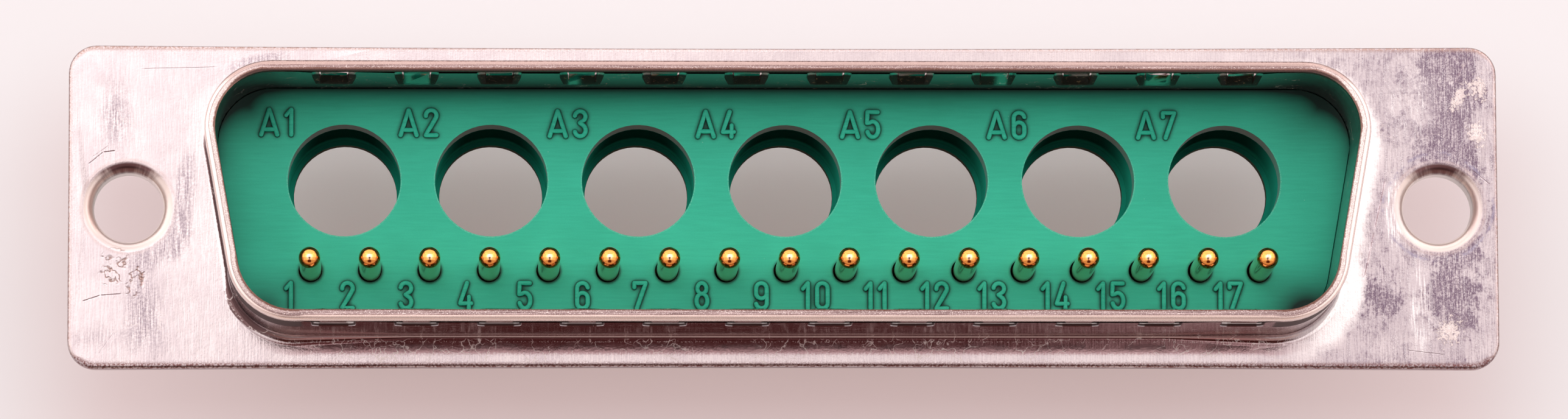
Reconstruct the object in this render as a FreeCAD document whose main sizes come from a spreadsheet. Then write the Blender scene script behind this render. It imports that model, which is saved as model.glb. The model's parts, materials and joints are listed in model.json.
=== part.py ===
import FreeCAD, Part
import math
import os
import Sketcher

# Combination plug with seventeen signal pins and seven empty round cavities.
# X runs along the shell, Y points to its wide side and Z is the mating direction.
# The origin is on the mating axis, in the front face of the flange.

doc = FreeCAD.newDocument("DSubPlug")

# Driving dimensions in millimetres, and the collar's side angle in degrees
SIZES = (
    ("flange_end", 2.795),
    ("flange_side", 2.065),
    ("flange_corner", 1.3),
    ("flange_waist", 0.12),
    ("shell_sheet", 0.5),
    ("edge_roll", 0.15),
    ("collar_width", 52.81),
    ("collar_height", 11.07),
    ("collar_corner", 2.6),
    ("collar_side_angle", 10.0),
    ("collar_reach", 5.84),
    ("collar_foot_radius", 0.5),
    ("collar_bend_radius", 0.3),
    ("collar_rim_roll", 0.2),
    ("dimple_pitch", 3.81),
    ("dimple_width", 2.05),
    ("dimple_length", 2.6),
    ("dimple_rise", 2.3),
    ("dimple_corner", 0.45),
    ("dimple_depth", 0.3),
    ("dimple_side_run", 0.18),
    ("dimple_ramp", 1.75),
    ("hole_offset", 4.15),
    ("hole_diameter", 3.25),
    ("eyelet_wall", 0.35),
    ("eyelet_lead", 0.45),
    ("eyelet_flare_width", 0.45),
    ("eyelet_flare_thickness", 0.3),
    ("eyelet_gap", 0.05),
    ("rear_setback", 0.1),
    ("rear_growth", 1.25),
    ("rear_reach", 4.2),
    ("rear_foot_radius", 0.4),
    ("rear_end_radius", 0.5),
    ("rear_lip", 0.9),
    ("insulator_gap", 0.05),
    ("boss_gap", 0.13),
    ("insulator_face", 0.3),
    ("insulator_joint", 1.1),
    ("insulator_edge", 0.15),
    ("rear_boss", 0.5),
    ("cavity_pitch", 6.84),
    ("cavity_row", 1.2),
    ("cavity_diameter", 5.25),
    ("cavity_lip", 0.2),
    ("cavity_lip_depth", 0.8),
    ("pin_pitch", 2.76),
    ("pin_row", 3.02),
    ("pin_diameter", 1.0),
    ("pin_tip", 5.48),
    ("pin_gap", 0.03),
    ("pin_hole_gap", 0.05),
    ("pin_taper_drop", 0.15),
    ("shoulder_diameter", 2.1),
    ("shoulder_thickness", 0.8),
    ("cup_diameter", 1.8),
    ("cup_bore", 1.2),
    ("cup_bore_depth", 2.6),
    ("cup_reach", 3.0),
    ("cup_window", 1.8),
    ("cup_edge", 0.12),
)
PIN_COUNT = 17
CAVITY_COUNT = 7
DIMPLE_COUNT = 12

sheet = doc.addObject("Spreadsheet::Sheet", "Dimensions")
for row, (alias, size) in enumerate(SIZES, start=1):
    sheet.set(f"A{row}", alias)
    sheet.set(f"B{row}", str(size))
    sheet.setAlias(f"B{row}", alias)
doc.recompute()

# The holes stand off the collar's ends, and the flange runs on past the holes
HOLE_PLACE = "(Dimensions.collar_width / 2 + Dimensions.hole_offset)"
FLANGE_HALF_LENGTH = f"({HOLE_PLACE} + Dimensions.flange_end)"
FLANGE_HALF_HEIGHT = "(Dimensions.collar_height / 2 + Dimensions.flange_side)"

# Heights of the faces that the pieces share, measured from the flange's front face
FLANGE_BACK = "(-Dimensions.shell_sheet)"
SHELLS_BACK = "(-2 * Dimensions.shell_sheet)"
JOINT = "(-Dimensions.insulator_joint)"
LIP_INSIDE = "(-Dimensions.shell_sheet - Dimensions.rear_reach)"
BOSS_END = "(-2 * Dimensions.shell_sheet - Dimensions.rear_reach - Dimensions.rear_boss)"
CUP_END = f"({BOSS_END} - Dimensions.cup_reach)"

# How far each D outline stands outside the collar's inner outline
COLLAR_OUTSIDE = "Dimensions.shell_sheet"
REAR_OUTSIDE = "Dimensions.rear_growth"
REAR_INSIDE = "(Dimensions.rear_growth - Dimensions.shell_sheet)"
LIP_OPENING = "(Dimensions.rear_growth - Dimensions.shell_sheet - Dimensions.rear_lip)"


# Bodies, sketches and features

def new_body(name):
    body = doc.addObject("PartDesign::Body", name)
    body.Label = name
    return body


def origin_feature(body, role):
    for feature in body.Origin.OriginFeatures:
        if feature.Role == role:
            return feature
    raise ValueError(role)


def new_sketch(body, name, role="XY_Plane", height=None, across=None):
    sketch = body.newObject("Sketcher::SketchObject", name)
    sketch.AttachmentSupport = [(origin_feature(body, role), "")]
    sketch.MapMode = "FlatFace"
    if height:
        sketch.setExpression(".AttachmentOffset.Base.z", height)
    if across:
        sketch.setExpression(".AttachmentOffset.Base.x", across)
    return sketch


def new_loft(body, kind, name, first, second):
    feature = body.newObject(f"PartDesign::{kind}", name)
    feature.Profile = first
    feature.Sections = [second]
    feature.Ruled = True
    first.Visibility = False
    second.Visibility = False
    return feature


def new_feature(body, kind, name, sketch, length, reverse=False):
    feature = body.newObject(f"PartDesign::{kind}", name)
    feature.Profile = sketch
    feature.setExpression("Length", length)
    feature.Reversed = reverse
    sketch.Visibility = False
    return feature


def revolve(body, kind, name, sketch):
    feature = body.newObject(f"PartDesign::{kind}", name)
    feature.Profile = sketch
    feature.ReferenceAxis = (sketch, ["V_Axis"])
    feature.Angle = 360.0
    sketch.Visibility = False
    return feature


def row_pattern(body, name, originals, pitch, count):
    pattern = body.newObject("PartDesign::LinearPattern", name)
    pattern.Originals = originals
    pattern.Direction = (origin_feature(body, "X_Axis"), [""])
    pattern.setExpression("Length", f"{count - 1} * {pitch}")
    pattern.Occurrences = count
    body.Tip = pattern
    return pattern


def mirror_ends(body, name, originals):
    mirror = body.newObject("PartDesign::Mirrored", name)
    mirror.Originals = originals
    mirror.MirrorPlane = (origin_feature(body, "YZ_Plane"), [""])
    body.Tip = mirror
    return mirror


def round_edges(body, name, radius, keep):
    doc.recompute()
    base = body.Tip
    names = [
        f"Edge{number}"
        for number, edge in enumerate(base.Shape.Edges, start=1)
        if keep(edge)
    ]
    if not names:
        raise ValueError(f"{body.Label}: no edges for {name}")
    fillet = body.newObject("PartDesign::Fillet", name)
    fillet.Base = (base, names)
    fillet.setExpression("Radius", radius)
    return fillet


# Sketch outlines

def fix_distance(sketch, kind, first, second, expression):
    amount = float(sketch.evalExpression(expression))
    if amount < 0:
        first, second = second, first
        expression = f"-({expression})"
        amount = -amount
    number = sketch.addConstraint(
        Sketcher.Constraint(kind, first[0], first[1], second[0], second[1], amount)
    )
    sketch.setExpression(f"Constraints[{number}]", expression)


SKETCH_ORIGIN = (-1, 1)


def put_on_axis(sketch, curve, end, is_vertical):
    # A sketch's own axes are its curves -1, across, and -2, upwards
    axis = -2 if is_vertical else -1
    sketch.addConstraint(Sketcher.Constraint("PointOnObject", curve, end, axis))


def fix_point(sketch, point, x, y):
    for kind, expression in (("DistanceX", x), ("DistanceY", y)):
        if expression == "0":
            put_on_axis(sketch, point[0], point[1], kind == "DistanceX")
        else:
            fix_distance(sketch, kind, SKETCH_ORIGIN, point, expression)


def fix_radius(sketch, curve, expression):
    radius = float(sketch.evalExpression(expression))
    number = sketch.addConstraint(Sketcher.Constraint("Radius", curve, radius))
    sketch.setExpression(f"Constraints[{number}]", expression)


def draw_circle(sketch, x, y, radius):
    centre = FreeCAD.Vector(
        float(sketch.evalExpression(x)), float(sketch.evalExpression(y)), 0
    )
    amount = float(sketch.evalExpression(radius))
    curve = sketch.addGeometry(Part.Circle(centre, FreeCAD.Vector(0, 0, 1), amount))
    fix_point(sketch, (curve, 3), x, y)
    fix_radius(sketch, curve, radius)


def draw_chain(sketch, corners):
    # Straight runs from corner to corner, each corner given by its two expressions
    points = [
        FreeCAD.Vector(float(sketch.evalExpression(x)), float(sketch.evalExpression(y)), 0)
        for x, y in corners
    ]
    lines = [
        sketch.addGeometry(Part.LineSegment(start, end))
        for start, end in zip(points, points[1:])
    ]
    for line, following in zip(lines, lines[1:]):
        sketch.addConstraint(Sketcher.Constraint("Coincident", line, 2, following, 1))
    for line, (x, y) in zip(lines, corners):
        fix_point(sketch, (line, 1), x, y)
    return lines


def draw_corners(sketch, corners):
    lines = draw_chain(sketch, corners + corners[:1])
    sketch.addConstraint(Sketcher.Constraint("Coincident", lines[-1], 2, lines[0], 1))


def draw_rounded_box(sketch, left, right, low, high, corner):
    # A box outline with a quarter arc at each corner
    amount = float(sketch.evalExpression(corner))
    xs = [float(sketch.evalExpression(text)) for text in (left, right)]
    ys = [float(sketch.evalExpression(text)) for text in (low, high)]
    upwards = FreeCAD.Vector(0, 0, 1)
    arcs = []
    for x, y, turn in ((1, 1, 0), (0, 1, 1), (0, 0, 2), (1, 0, 3)):
        centre = FreeCAD.Vector(
            xs[x] + (amount if x == 0 else -amount),
            ys[y] + (amount if y == 0 else -amount),
            0,
        )
        circle = Part.Circle(centre, upwards, amount)
        start = turn * math.pi / 2
        arcs.append(sketch.addGeometry(Part.ArcOfCircle(circle, start, start + math.pi / 2)))
    sides = []
    for before, after in zip(range(4), (1, 2, 3, 0)):
        start = sketch.getPoint(arcs[before], 2)
        end = sketch.getPoint(arcs[after], 1)
        side = sketch.addGeometry(Part.LineSegment(start, end))
        sketch.addConstraint(Sketcher.Constraint("Tangent", arcs[before], 2, side, 1))
        sketch.addConstraint(Sketcher.Constraint("Tangent", side, 2, arcs[after], 1))
        sides.append(side)
    top, west, bottom, east = sides
    for kind, side in (("Horizontal", top), ("Vertical", west), ("Vertical", east)):
        sketch.addConstraint(Sketcher.Constraint(kind, side))
    for arc in arcs[1:]:
        sketch.addConstraint(Sketcher.Constraint("Equal", arcs[0], arc))
    fix_radius(sketch, arcs[0], corner)
    fix_distance(sketch, "DistanceX", SKETCH_ORIGIN, (west, 1), left)
    fix_distance(sketch, "DistanceX", SKETCH_ORIGIN, (east, 1), right)
    fix_distance(sketch, "DistanceY", SKETCH_ORIGIN, (top, 1), high)
    fix_distance(sketch, "DistanceY", SKETCH_ORIGIN, (bottom, 1), low)


def draw_d_outline(sketch, growth):
    # The wide side lies towards +Y, and all four corners keep their centres as it grows
    radius_text = f"(Dimensions.collar_corner + {growth})"
    half_height_text = f"(Dimensions.collar_height / 2 + {growth})"
    centre_text = "(Dimensions.collar_width / 2 - Dimensions.collar_corner)"
    radius = float(sketch.evalExpression(radius_text))
    half_height = float(sketch.evalExpression(half_height_text))
    wide = float(sketch.evalExpression(centre_text))
    lean = math.radians(float(sheet.get("collar_side_angle")))
    drop = 2 * (half_height - radius)
    narrow = wide - drop * math.tan(lean)
    centres = (
        FreeCAD.Vector(wide, half_height - radius, 0),
        FreeCAD.Vector(-wide, half_height - radius, 0),
        FreeCAD.Vector(-narrow, radius - half_height, 0),
        FreeCAD.Vector(narrow, radius - half_height, 0),
    )
    turns = (-lean, math.pi / 2, math.pi + lean, 1.5 * math.pi, 2 * math.pi - lean)
    upwards = FreeCAD.Vector(0, 0, 1)
    spans = (
        (turns[0], turns[1]),
        (turns[1], turns[2]),
        (turns[2], turns[3]),
        (turns[3], turns[4]),
    )
    arcs = [
        sketch.addGeometry(Part.ArcOfCircle(Part.Circle(centre, upwards, radius), start, end))
        for centre, (start, end) in zip(centres, spans)
    ]
    sides = []
    for before, after in zip(range(4), (1, 2, 3, 0)):
        start = sketch.getPoint(arcs[before], 2)
        end = sketch.getPoint(arcs[after], 1)
        side = sketch.addGeometry(Part.LineSegment(start, end))
        sketch.addConstraint(Sketcher.Constraint("Tangent", arcs[before], 2, side, 1))
        sketch.addConstraint(Sketcher.Constraint("Tangent", side, 2, arcs[after], 1))
        sides.append(side)
    top, left, bottom, right = sides
    sketch.addConstraint(Sketcher.Constraint("Horizontal", top))
    sketch.addConstraint(Sketcher.Constraint("Horizontal", bottom))
    for arc in arcs[1:]:
        sketch.addConstraint(Sketcher.Constraint("Equal", arcs[0], arc))
    fix_radius(sketch, arcs[0], radius_text)
    for side, turn, text in (
        (left, -math.pi / 2 + lean, "-90 deg + Dimensions.collar_side_angle * 1 deg"),
        (right, math.pi / 2 - lean, "90 deg - Dimensions.collar_side_angle * 1 deg"),
    ):
        number = sketch.addConstraint(Sketcher.Constraint("Angle", side, turn))
        sketch.setExpression(f"Constraints[{number}]", text)
    fix_distance(sketch, "DistanceX", SKETCH_ORIGIN, (arcs[0], 3), centre_text)
    fix_distance(sketch, "DistanceX", (arcs[1], 3), SKETCH_ORIGIN, centre_text)
    fix_distance(sketch, "DistanceY", SKETCH_ORIGIN, (top, 1), half_height_text)
    fix_distance(sketch, "DistanceY", (bottom, 1), SKETCH_ORIGIN, half_height_text)


def draw_flange_outline(sketch, setback):
    # The long edges are pulled in towards the middle, where the collar was drawn
    half_length = f"({FLANGE_HALF_LENGTH} - {setback})"
    half_height = f"({FLANGE_HALF_HEIGHT} - {setback})"
    waist = "Dimensions.flange_waist"
    corner_x = float(sketch.evalExpression(half_length))
    corner_y = float(sketch.evalExpression(half_height))
    sag = float(sketch.evalExpression(waist))
    corners = [
        FreeCAD.Vector(corner_x * x, corner_y * y, 0)
        for x, y in ((1, 1), (-1, 1), (-1, -1), (1, -1))
    ]
    middles = (FreeCAD.Vector(0, corner_y - sag, 0), FreeCAD.Vector(0, sag - corner_y, 0))
    top = sketch.addGeometry(Part.Arc(corners[1], middles[0], corners[0]))
    left = sketch.addGeometry(Part.LineSegment(corners[1], corners[2]))
    bottom = sketch.addGeometry(Part.Arc(corners[3], middles[1], corners[2]))
    right = sketch.addGeometry(Part.LineSegment(corners[3], corners[0]))
    ends = {}
    for curve in (top, bottom):
        for end in (1, 2):
            point = sketch.getPoint(curve, end)
            ends[(point.x > 0, point.y > 0)] = (curve, end)
    for line in (left, right):
        for end in (1, 2):
            point = sketch.getPoint(line, end)
            curve, curve_end = ends[(point.x > 0, point.y > 0)]
            sketch.addConstraint(Sketcher.Constraint("Coincident", line, end, curve, curve_end))
    for (is_right, is_upper), point in ends.items():
        x = half_length if is_right else f"-{half_length}"
        y = half_height if is_upper else f"-{half_height}"
        fix_point(sketch, point, x, y)
    sweep = f"({half_length} ^ 2 + {waist} ^ 2) / (2 * {waist})"
    fix_radius(sketch, top, sweep)
    fix_radius(sketch, bottom, sweep)


# Tests that pick edges by where they lie

def is_level(edge, height):
    box = edge.BoundBox
    return abs(box.ZMin - height) < 1e-5 and abs(box.ZMax - height) < 1e-5


def is_upright(edge):
    return edge.BoundBox.XLength < 1e-5 and edge.BoundBox.YLength < 1e-5


def outline_test(growth):
    # True for an edge that lies on the D outline with the given growth
    corner = float(sheet.get("collar_corner")) + growth
    half_height = float(sheet.get("collar_height")) / 2 + growth
    centre_y = half_height - corner
    wide = float(sheet.get("collar_width")) / 2 - float(sheet.get("collar_corner"))
    lean = math.radians(float(sheet.get("collar_side_angle")))
    narrow = wide - 2 * centre_y * math.tan(lean)

    def distance(point):
        # Signed distance from the outline's rounded polygon, negative inside
        x = abs(point.x)
        across = (x - wide) * math.cos(lean) - (point.y - centre_y) * math.sin(lean)
        along = (x - wide) * math.sin(lean) + (point.y - centre_y) * math.cos(lean)
        length = 2 * centre_y / math.cos(lean)
        if across > 0 and -length <= along <= 0:
            return across - corner
        if across > 0 or along > 0 or along < -length:
            if x <= wide and point.y >= centre_y:
                return point.y - centre_y - corner
            if x <= narrow and point.y <= -centre_y:
                return -point.y - centre_y - corner
            end = (wide, centre_y) if along > 0 else (narrow, -centre_y)
            return math.hypot(x - end[0], point.y - end[1]) - corner
        return -corner

    def keep(edge):
        samples = edge.discretize(5)
        return all(abs(distance(point)) < 1e-4 for point in samples)

    return keep


def on_outline(growth, height):
    lies_on = outline_test(growth)

    def keep(edge):
        return is_level(edge, height) and lies_on(edge)

    return keep


def at_flange_edge(height):
    # The outline of a flange, which lies outside everything that it carries
    side = float(sheet.get("collar_height")) / 2 + float(sheet.get("rear_growth"))
    holes = float(sheet.get("collar_width")) / 2 + float(sheet.get("hole_offset"))

    def keep(edge):
        box = edge.BoundBox
        beyond_ends = box.XMin > holes or box.XMax < -holes
        beyond_sides = box.YMin > side or box.YMax < -side
        return is_level(edge, height) and (beyond_ends or beyond_sides)

    return keep


# Front shell: flange, collar, dimples and eyelets, drawn from one sheet

def press_dimples(body, side):
    # A row of dimples pressed inwards through one long wall, each a ramp from the rim down
    label = "Wide" if side > 0 else "Narrow"
    inside = "Dimensions.collar_height / 2"
    middle = f"(-{DIMPLE_COUNT - 1} / 2 * Dimensions.dimple_pitch)"
    low = "Dimensions.dimple_rise"
    high = "(Dimensions.dimple_rise + Dimensions.dimple_length)"
    half = "Dimensions.dimple_width / 2"
    run = "Dimensions.dimple_side_run"
    features = []
    for kind, name, wall in (
        ("AdditiveLoft", "Bump", inside),
        ("SubtractiveLoft", "Press", f"{inside} + Dimensions.shell_sheet"),
    ):
        mouth = new_sketch(body, f"{label}{name}Mouth", "XZ_Plane", f"{-side} * ({wall})")
        draw_rounded_box(
            mouth, f"({middle} - {half})", f"({middle} + {half})", low, high,
            "Dimensions.dimple_corner",
        )
        floor = new_sketch(
            body, f"{label}{name}Floor", "XZ_Plane",
            f"{-side} * ({wall} - Dimensions.dimple_depth)",
        )
        draw_rounded_box(
            floor, f"({middle} - {half} + {run})", f"({middle} + {half} - {run})",
            f"({low} + {run})", f"({high} - Dimensions.dimple_ramp)",
            f"(Dimensions.dimple_corner - {run})",
        )
        features.append(new_loft(body, kind, f"{label}{name}", mouth, floor))
    doc.recompute()
    return row_pattern(body, f"{label}Dimples", features, "Dimensions.dimple_pitch", DIMPLE_COUNT)


def make_front_shell():
    body = new_body("front_shell")
    thick = float(sheet.get("shell_sheet"))
    rim = float(sheet.get("collar_reach"))
    flange = new_sketch(body, "FrontFlangeSketch")
    draw_flange_outline(flange, "0")
    new_feature(body, "Pad", "FrontFlange", flange, "Dimensions.shell_sheet", True)
    round_edges(body, "FrontFlangeCorners", "Dimensions.flange_corner", is_upright)

    collar = new_sketch(body, "CollarSketch")
    draw_d_outline(collar, COLLAR_OUTSIDE)
    new_feature(body, "Pad", "Collar", collar, "Dimensions.collar_reach")
    bore = new_sketch(body, "CollarBoreSketch", height="Dimensions.collar_reach")
    draw_d_outline(bore, "0")
    depth = "Dimensions.collar_reach + Dimensions.shell_sheet"
    new_feature(body, "Pocket", "CollarBore", bore, depth)
    round_edges(body, "CollarFoot", "Dimensions.collar_foot_radius", on_outline(thick, 0.0))
    round_edges(body, "CollarBend", "Dimensions.collar_bend_radius", on_outline(0.0, -thick))
    round_edges(body, "CollarRim", "Dimensions.collar_rim_roll", on_outline(thick, rim))

    barrel = new_sketch(body, "EyeletSketch", "XZ_Plane", across=HOLE_PLACE)
    outside = "(Dimensions.hole_diameter / 2 + Dimensions.eyelet_wall)"
    flare = f"({outside} + Dimensions.eyelet_flare_width)"
    end = f"({SHELLS_BACK} - Dimensions.eyelet_flare_thickness)"
    draw_corners(barrel, (
        ("0", FLANGE_BACK),
        ("0", end),
        (flare, end),
        (flare, SHELLS_BACK),
        (outside, SHELLS_BACK),
        (outside, FLANGE_BACK),
    ))
    eyelet = revolve(body, "Revolution", "Eyelet", barrel)
    hole = new_sketch(body, "MountingHoleSketch")
    draw_circle(hole, HOLE_PLACE, "0", "Dimensions.hole_diameter / 2")
    depth = "2 * Dimensions.shell_sheet + Dimensions.eyelet_flare_thickness"
    bored = new_feature(body, "Pocket", "MountingHole", hole, depth)
    doc.recompute()
    mirror_ends(body, "Eyelets", [eyelet, bored])

    def at_hole_mouth(edge):
        radius = float(sheet.get("hole_diameter")) / 2
        box = edge.BoundBox
        return is_level(edge, 0.0) and abs(box.YLength - 2 * radius) < 1e-4

    round_edges(body, "EyeletLead", "Dimensions.eyelet_lead", at_hole_mouth)
    round_edges(body, "FrontFlangeRoll", "Dimensions.edge_roll", at_flange_edge(0.0))
    press_dimples(body, 1)
    press_dimples(body, -1)
    return body


# Rear shell: drawn cup that holds both insulators against the front shell

def make_rear_shell():
    body = new_body("rear_shell")
    growth = float(sheet.get("rear_growth"))
    thick = float(sheet.get("shell_sheet"))
    back = -2 * thick
    end = back - float(sheet.get("rear_reach"))
    flange = new_sketch(body, "RearFlangeSketch", height=FLANGE_BACK)
    draw_flange_outline(flange, "Dimensions.rear_setback")
    new_feature(body, "Pad", "RearFlange", flange, "Dimensions.shell_sheet", True)
    round_edges(
        body,
        "RearFlangeCorners",
        "Dimensions.flange_corner - Dimensions.rear_setback",
        is_upright,
    )

    cup = new_sketch(body, "RearCupSketch", height=SHELLS_BACK)
    draw_d_outline(cup, REAR_OUTSIDE)
    new_feature(body, "Pad", "RearCup", cup, "Dimensions.rear_reach", True)
    round_edges(body, "RearFoot", "Dimensions.rear_foot_radius", on_outline(growth, back))
    round_edges(body, "RearEnd", "Dimensions.rear_end_radius", on_outline(growth, end))
    inside = new_sketch(body, "RearInsideSketch", height=FLANGE_BACK)
    draw_d_outline(inside, REAR_INSIDE)
    new_feature(body, "Pocket", "RearInside", inside, "Dimensions.rear_reach")
    opening = new_sketch(body, "RearOpeningSketch", height=FLANGE_BACK)
    draw_d_outline(opening, LIP_OPENING)
    depth = "Dimensions.rear_reach + Dimensions.shell_sheet"
    new_feature(body, "Pocket", "RearOpening", opening, depth)

    holes = new_sketch(body, "RearHolesSketch", height=FLANGE_BACK)
    clearance = (
        "(Dimensions.hole_diameter / 2 + Dimensions.eyelet_wall + Dimensions.eyelet_gap)"
    )
    for sign in ("", "-"):
        draw_circle(holes, f"{sign}{HOLE_PLACE}", "0", clearance)
    new_feature(body, "Pocket", "RearHoles", holes, "Dimensions.shell_sheet")
    return body


# Insulators: two moulded green halves that meet inside the shells

def bore_row(body, name, height, place, pitch, count, radius, depth):
    sketch = new_sketch(body, f"{name}Sketch", height=height)
    first = f"(-{count - 1} / 2 * {pitch})"
    draw_circle(sketch, first, place, radius)
    bore = new_feature(body, "Pocket", name, sketch, depth)
    doc.recompute()
    return row_pattern(body, f"{name}Row", [bore], pitch, count)


CAVITY_PLACE = "Dimensions.cavity_row"
PIN_PLACE = "(-Dimensions.pin_row)"


def make_front_insulator():
    body = new_body("front_insulator")
    gap = float(sheet.get("boss_gap"))
    face = float(sheet.get("insulator_face"))
    base = new_sketch(body, "FrontBaseSketch", height=FLANGE_BACK)
    draw_d_outline(base, f"({REAR_INSIDE} - Dimensions.insulator_gap)")
    thickness = "Dimensions.insulator_joint - Dimensions.shell_sheet"
    new_feature(body, "Pad", "FrontBase", base, thickness, True)
    boss = new_sketch(body, "FrontBossSketch", height=FLANGE_BACK)
    draw_d_outline(boss, "(-Dimensions.boss_gap)")
    rise = "Dimensions.insulator_face + Dimensions.shell_sheet"
    new_feature(body, "Pad", "FrontBoss", boss, rise)
    round_edges(body, "FrontBossEdge", "Dimensions.insulator_edge", on_outline(-gap, face))
    depth = "Dimensions.insulator_face + Dimensions.insulator_joint"
    bore_row(
        body, "FrontCavity", "Dimensions.insulator_face", CAVITY_PLACE,
        "Dimensions.cavity_pitch", CAVITY_COUNT, "Dimensions.cavity_diameter / 2", depth,
    )
    bore_row(
        body, "FrontPinHole", "Dimensions.insulator_face", PIN_PLACE,
        "Dimensions.pin_pitch", PIN_COUNT,
        "Dimensions.pin_diameter / 2 + Dimensions.pin_hole_gap", depth,
    )
    return body


def make_rear_insulator():
    body = new_body("rear_insulator")
    gap = float(sheet.get("insulator_gap"))
    base = new_sketch(body, "RearBaseSketch", height=JOINT)
    draw_d_outline(base, f"({REAR_INSIDE} - Dimensions.insulator_gap)")
    thickness = f"{JOINT} - {LIP_INSIDE}"
    new_feature(body, "Pad", "RearBase", base, thickness, True)
    boss = new_sketch(body, "RearBossSketch", height=LIP_INSIDE)
    draw_d_outline(boss, f"({LIP_OPENING} - Dimensions.insulator_gap)")
    new_feature(body, "Pad", "RearBoss", boss, f"{LIP_INSIDE} - {BOSS_END}", True)
    boss_growth = float(base.evalExpression(f"{LIP_OPENING} - Dimensions.insulator_gap"))
    boss_end = float(base.evalExpression(BOSS_END))
    round_edges(
        body, "RearBossEdge", "Dimensions.insulator_edge", on_outline(boss_growth, boss_end)
    )
    length = f"({JOINT} - {BOSS_END})"
    bore_row(
        body, "RearCavity", JOINT, CAVITY_PLACE, "Dimensions.cavity_pitch", CAVITY_COUNT,
        "Dimensions.cavity_diameter / 2", f"{length} - Dimensions.cavity_lip_depth",
    )
    bore_row(
        body, "RearCavityMouth", JOINT, CAVITY_PLACE, "Dimensions.cavity_pitch",
        CAVITY_COUNT, "Dimensions.cavity_diameter / 2 - Dimensions.cavity_lip", length,
    )
    bore_row(
        body, "ShoulderSeat", JOINT, PIN_PLACE, "Dimensions.pin_pitch", PIN_COUNT,
        "Dimensions.shoulder_diameter / 2 + Dimensions.pin_gap", "Dimensions.shoulder_thickness",
    )
    bore_row(
        body, "CupHole", JOINT, PIN_PLACE, "Dimensions.pin_pitch", PIN_COUNT,
        "Dimensions.cup_diameter / 2 + Dimensions.pin_gap", length,
    )
    return body


# Signal pins: turned contacts with a round nose and a solder cup

def make_signal_pin(number):
    body = new_body(f"signal_pin_{number:02d}")
    profile = new_sketch(body, f"PinProfile{number}", "XZ_Plane")
    shaft = "(Dimensions.pin_diameter / 2)"
    shoulder = "(Dimensions.shoulder_diameter / 2)"
    cup = "(Dimensions.cup_diameter / 2)"
    seat = f"({JOINT} - Dimensions.shoulder_thickness)"
    root = f"({shaft} + Dimensions.pin_hole_gap - Dimensions.pin_gap)"
    taper_end = "(Dimensions.insulator_face - Dimensions.pin_taper_drop)"
    nose = f"(Dimensions.pin_tip - {shaft})"
    lines = draw_chain(profile, (
        ("0", "Dimensions.pin_tip"),
        ("0", CUP_END),
        (f"({cup} - Dimensions.cup_edge)", CUP_END),
        (cup, f"({CUP_END} + Dimensions.cup_edge)"),
        (cup, seat),
        (shoulder, seat),
        (shoulder, JOINT),
        (root, JOINT),
        (shaft, taper_end),
        (shaft, nose),
    ))
    fix_point(profile, (lines[-1], 2), shaft, nose)
    radius = float(profile.evalExpression(shaft))
    centre = FreeCAD.Vector(0, float(profile.evalExpression(nose)), 0)
    round_nose = Part.Circle(centre, FreeCAD.Vector(0, 0, 1), radius)
    arc = profile.addGeometry(Part.ArcOfCircle(round_nose, 0, math.pi / 2))
    profile.addConstraint(Sketcher.Constraint("Coincident", arc, 1, lines[-1], 2))
    profile.addConstraint(Sketcher.Constraint("Coincident", arc, 2, lines[0], 1))
    put_on_axis(profile, arc, 3, True)
    revolve(body, "Revolution", f"PinTurned{number}", profile)

    bore = new_sketch(body, f"CupBoreSketch{number}", height=CUP_END)
    draw_circle(bore, "0", "0", "Dimensions.cup_bore / 2")
    new_feature(
        body, "Pocket", f"CupBore{number}", bore, "Dimensions.cup_bore_depth", True
    )
    window = new_sketch(body, f"CupWindowSketch{number}", height=CUP_END)
    wide = "Dimensions.cup_diameter"
    draw_corners(window, (
        (f"-{wide}", f"-{wide}"),
        (wide, f"-{wide}"),
        (wide, "0"),
        (f"-{wide}", "0"),
    ))
    new_feature(body, "Pocket", f"CupWindow{number}", window, "Dimensions.cup_window", True)
    place = number - (PIN_COUNT + 1) / 2
    body.setExpression("Placement.Base.x", f"{place:g} * Dimensions.pin_pitch")
    body.setExpression("Placement.Base.y", "-Dimensions.pin_row")
    return body


pieces = [
    make_front_shell(),
    make_rear_shell(),
    make_front_insulator(),
    make_rear_insulator(),
]
for number in range(1, PIN_COUNT + 1):
    pieces.append(make_signal_pin(number))
doc.recompute()


# Every feature has to be sound, and every cut has to remove material

def check_document():
    for item in doc.Objects:
        if "Invalid" in item.State or "Error" in item.State:
            raise RuntimeError(f"{item.Label}: {item.State}")
        if item.TypeId in ("PartDesign::Pocket", "PartDesign::Groove"):
            if item.Shape.Volume >= item.BaseFeature.Shape.Volume:
                raise RuntimeError(f"{item.Label} removes nothing")
    for piece in pieces:
        if piece.Shape.isNull() or not piece.Shape.isValid():
            raise RuntimeError(f"{piece.Label} has no sound shape")
        if len(piece.Shape.Solids) != 1:
            raise RuntimeError(f"{piece.Label} is not one solid")


check_document()
os.makedirs("parts", exist_ok=True)
for piece in pieces:
    piece.Shape.exportStep(f"parts/{piece.Label}.step")
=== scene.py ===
import json
import math

import bmesh
import bpy
from mathutils import Matrix, Vector

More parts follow.
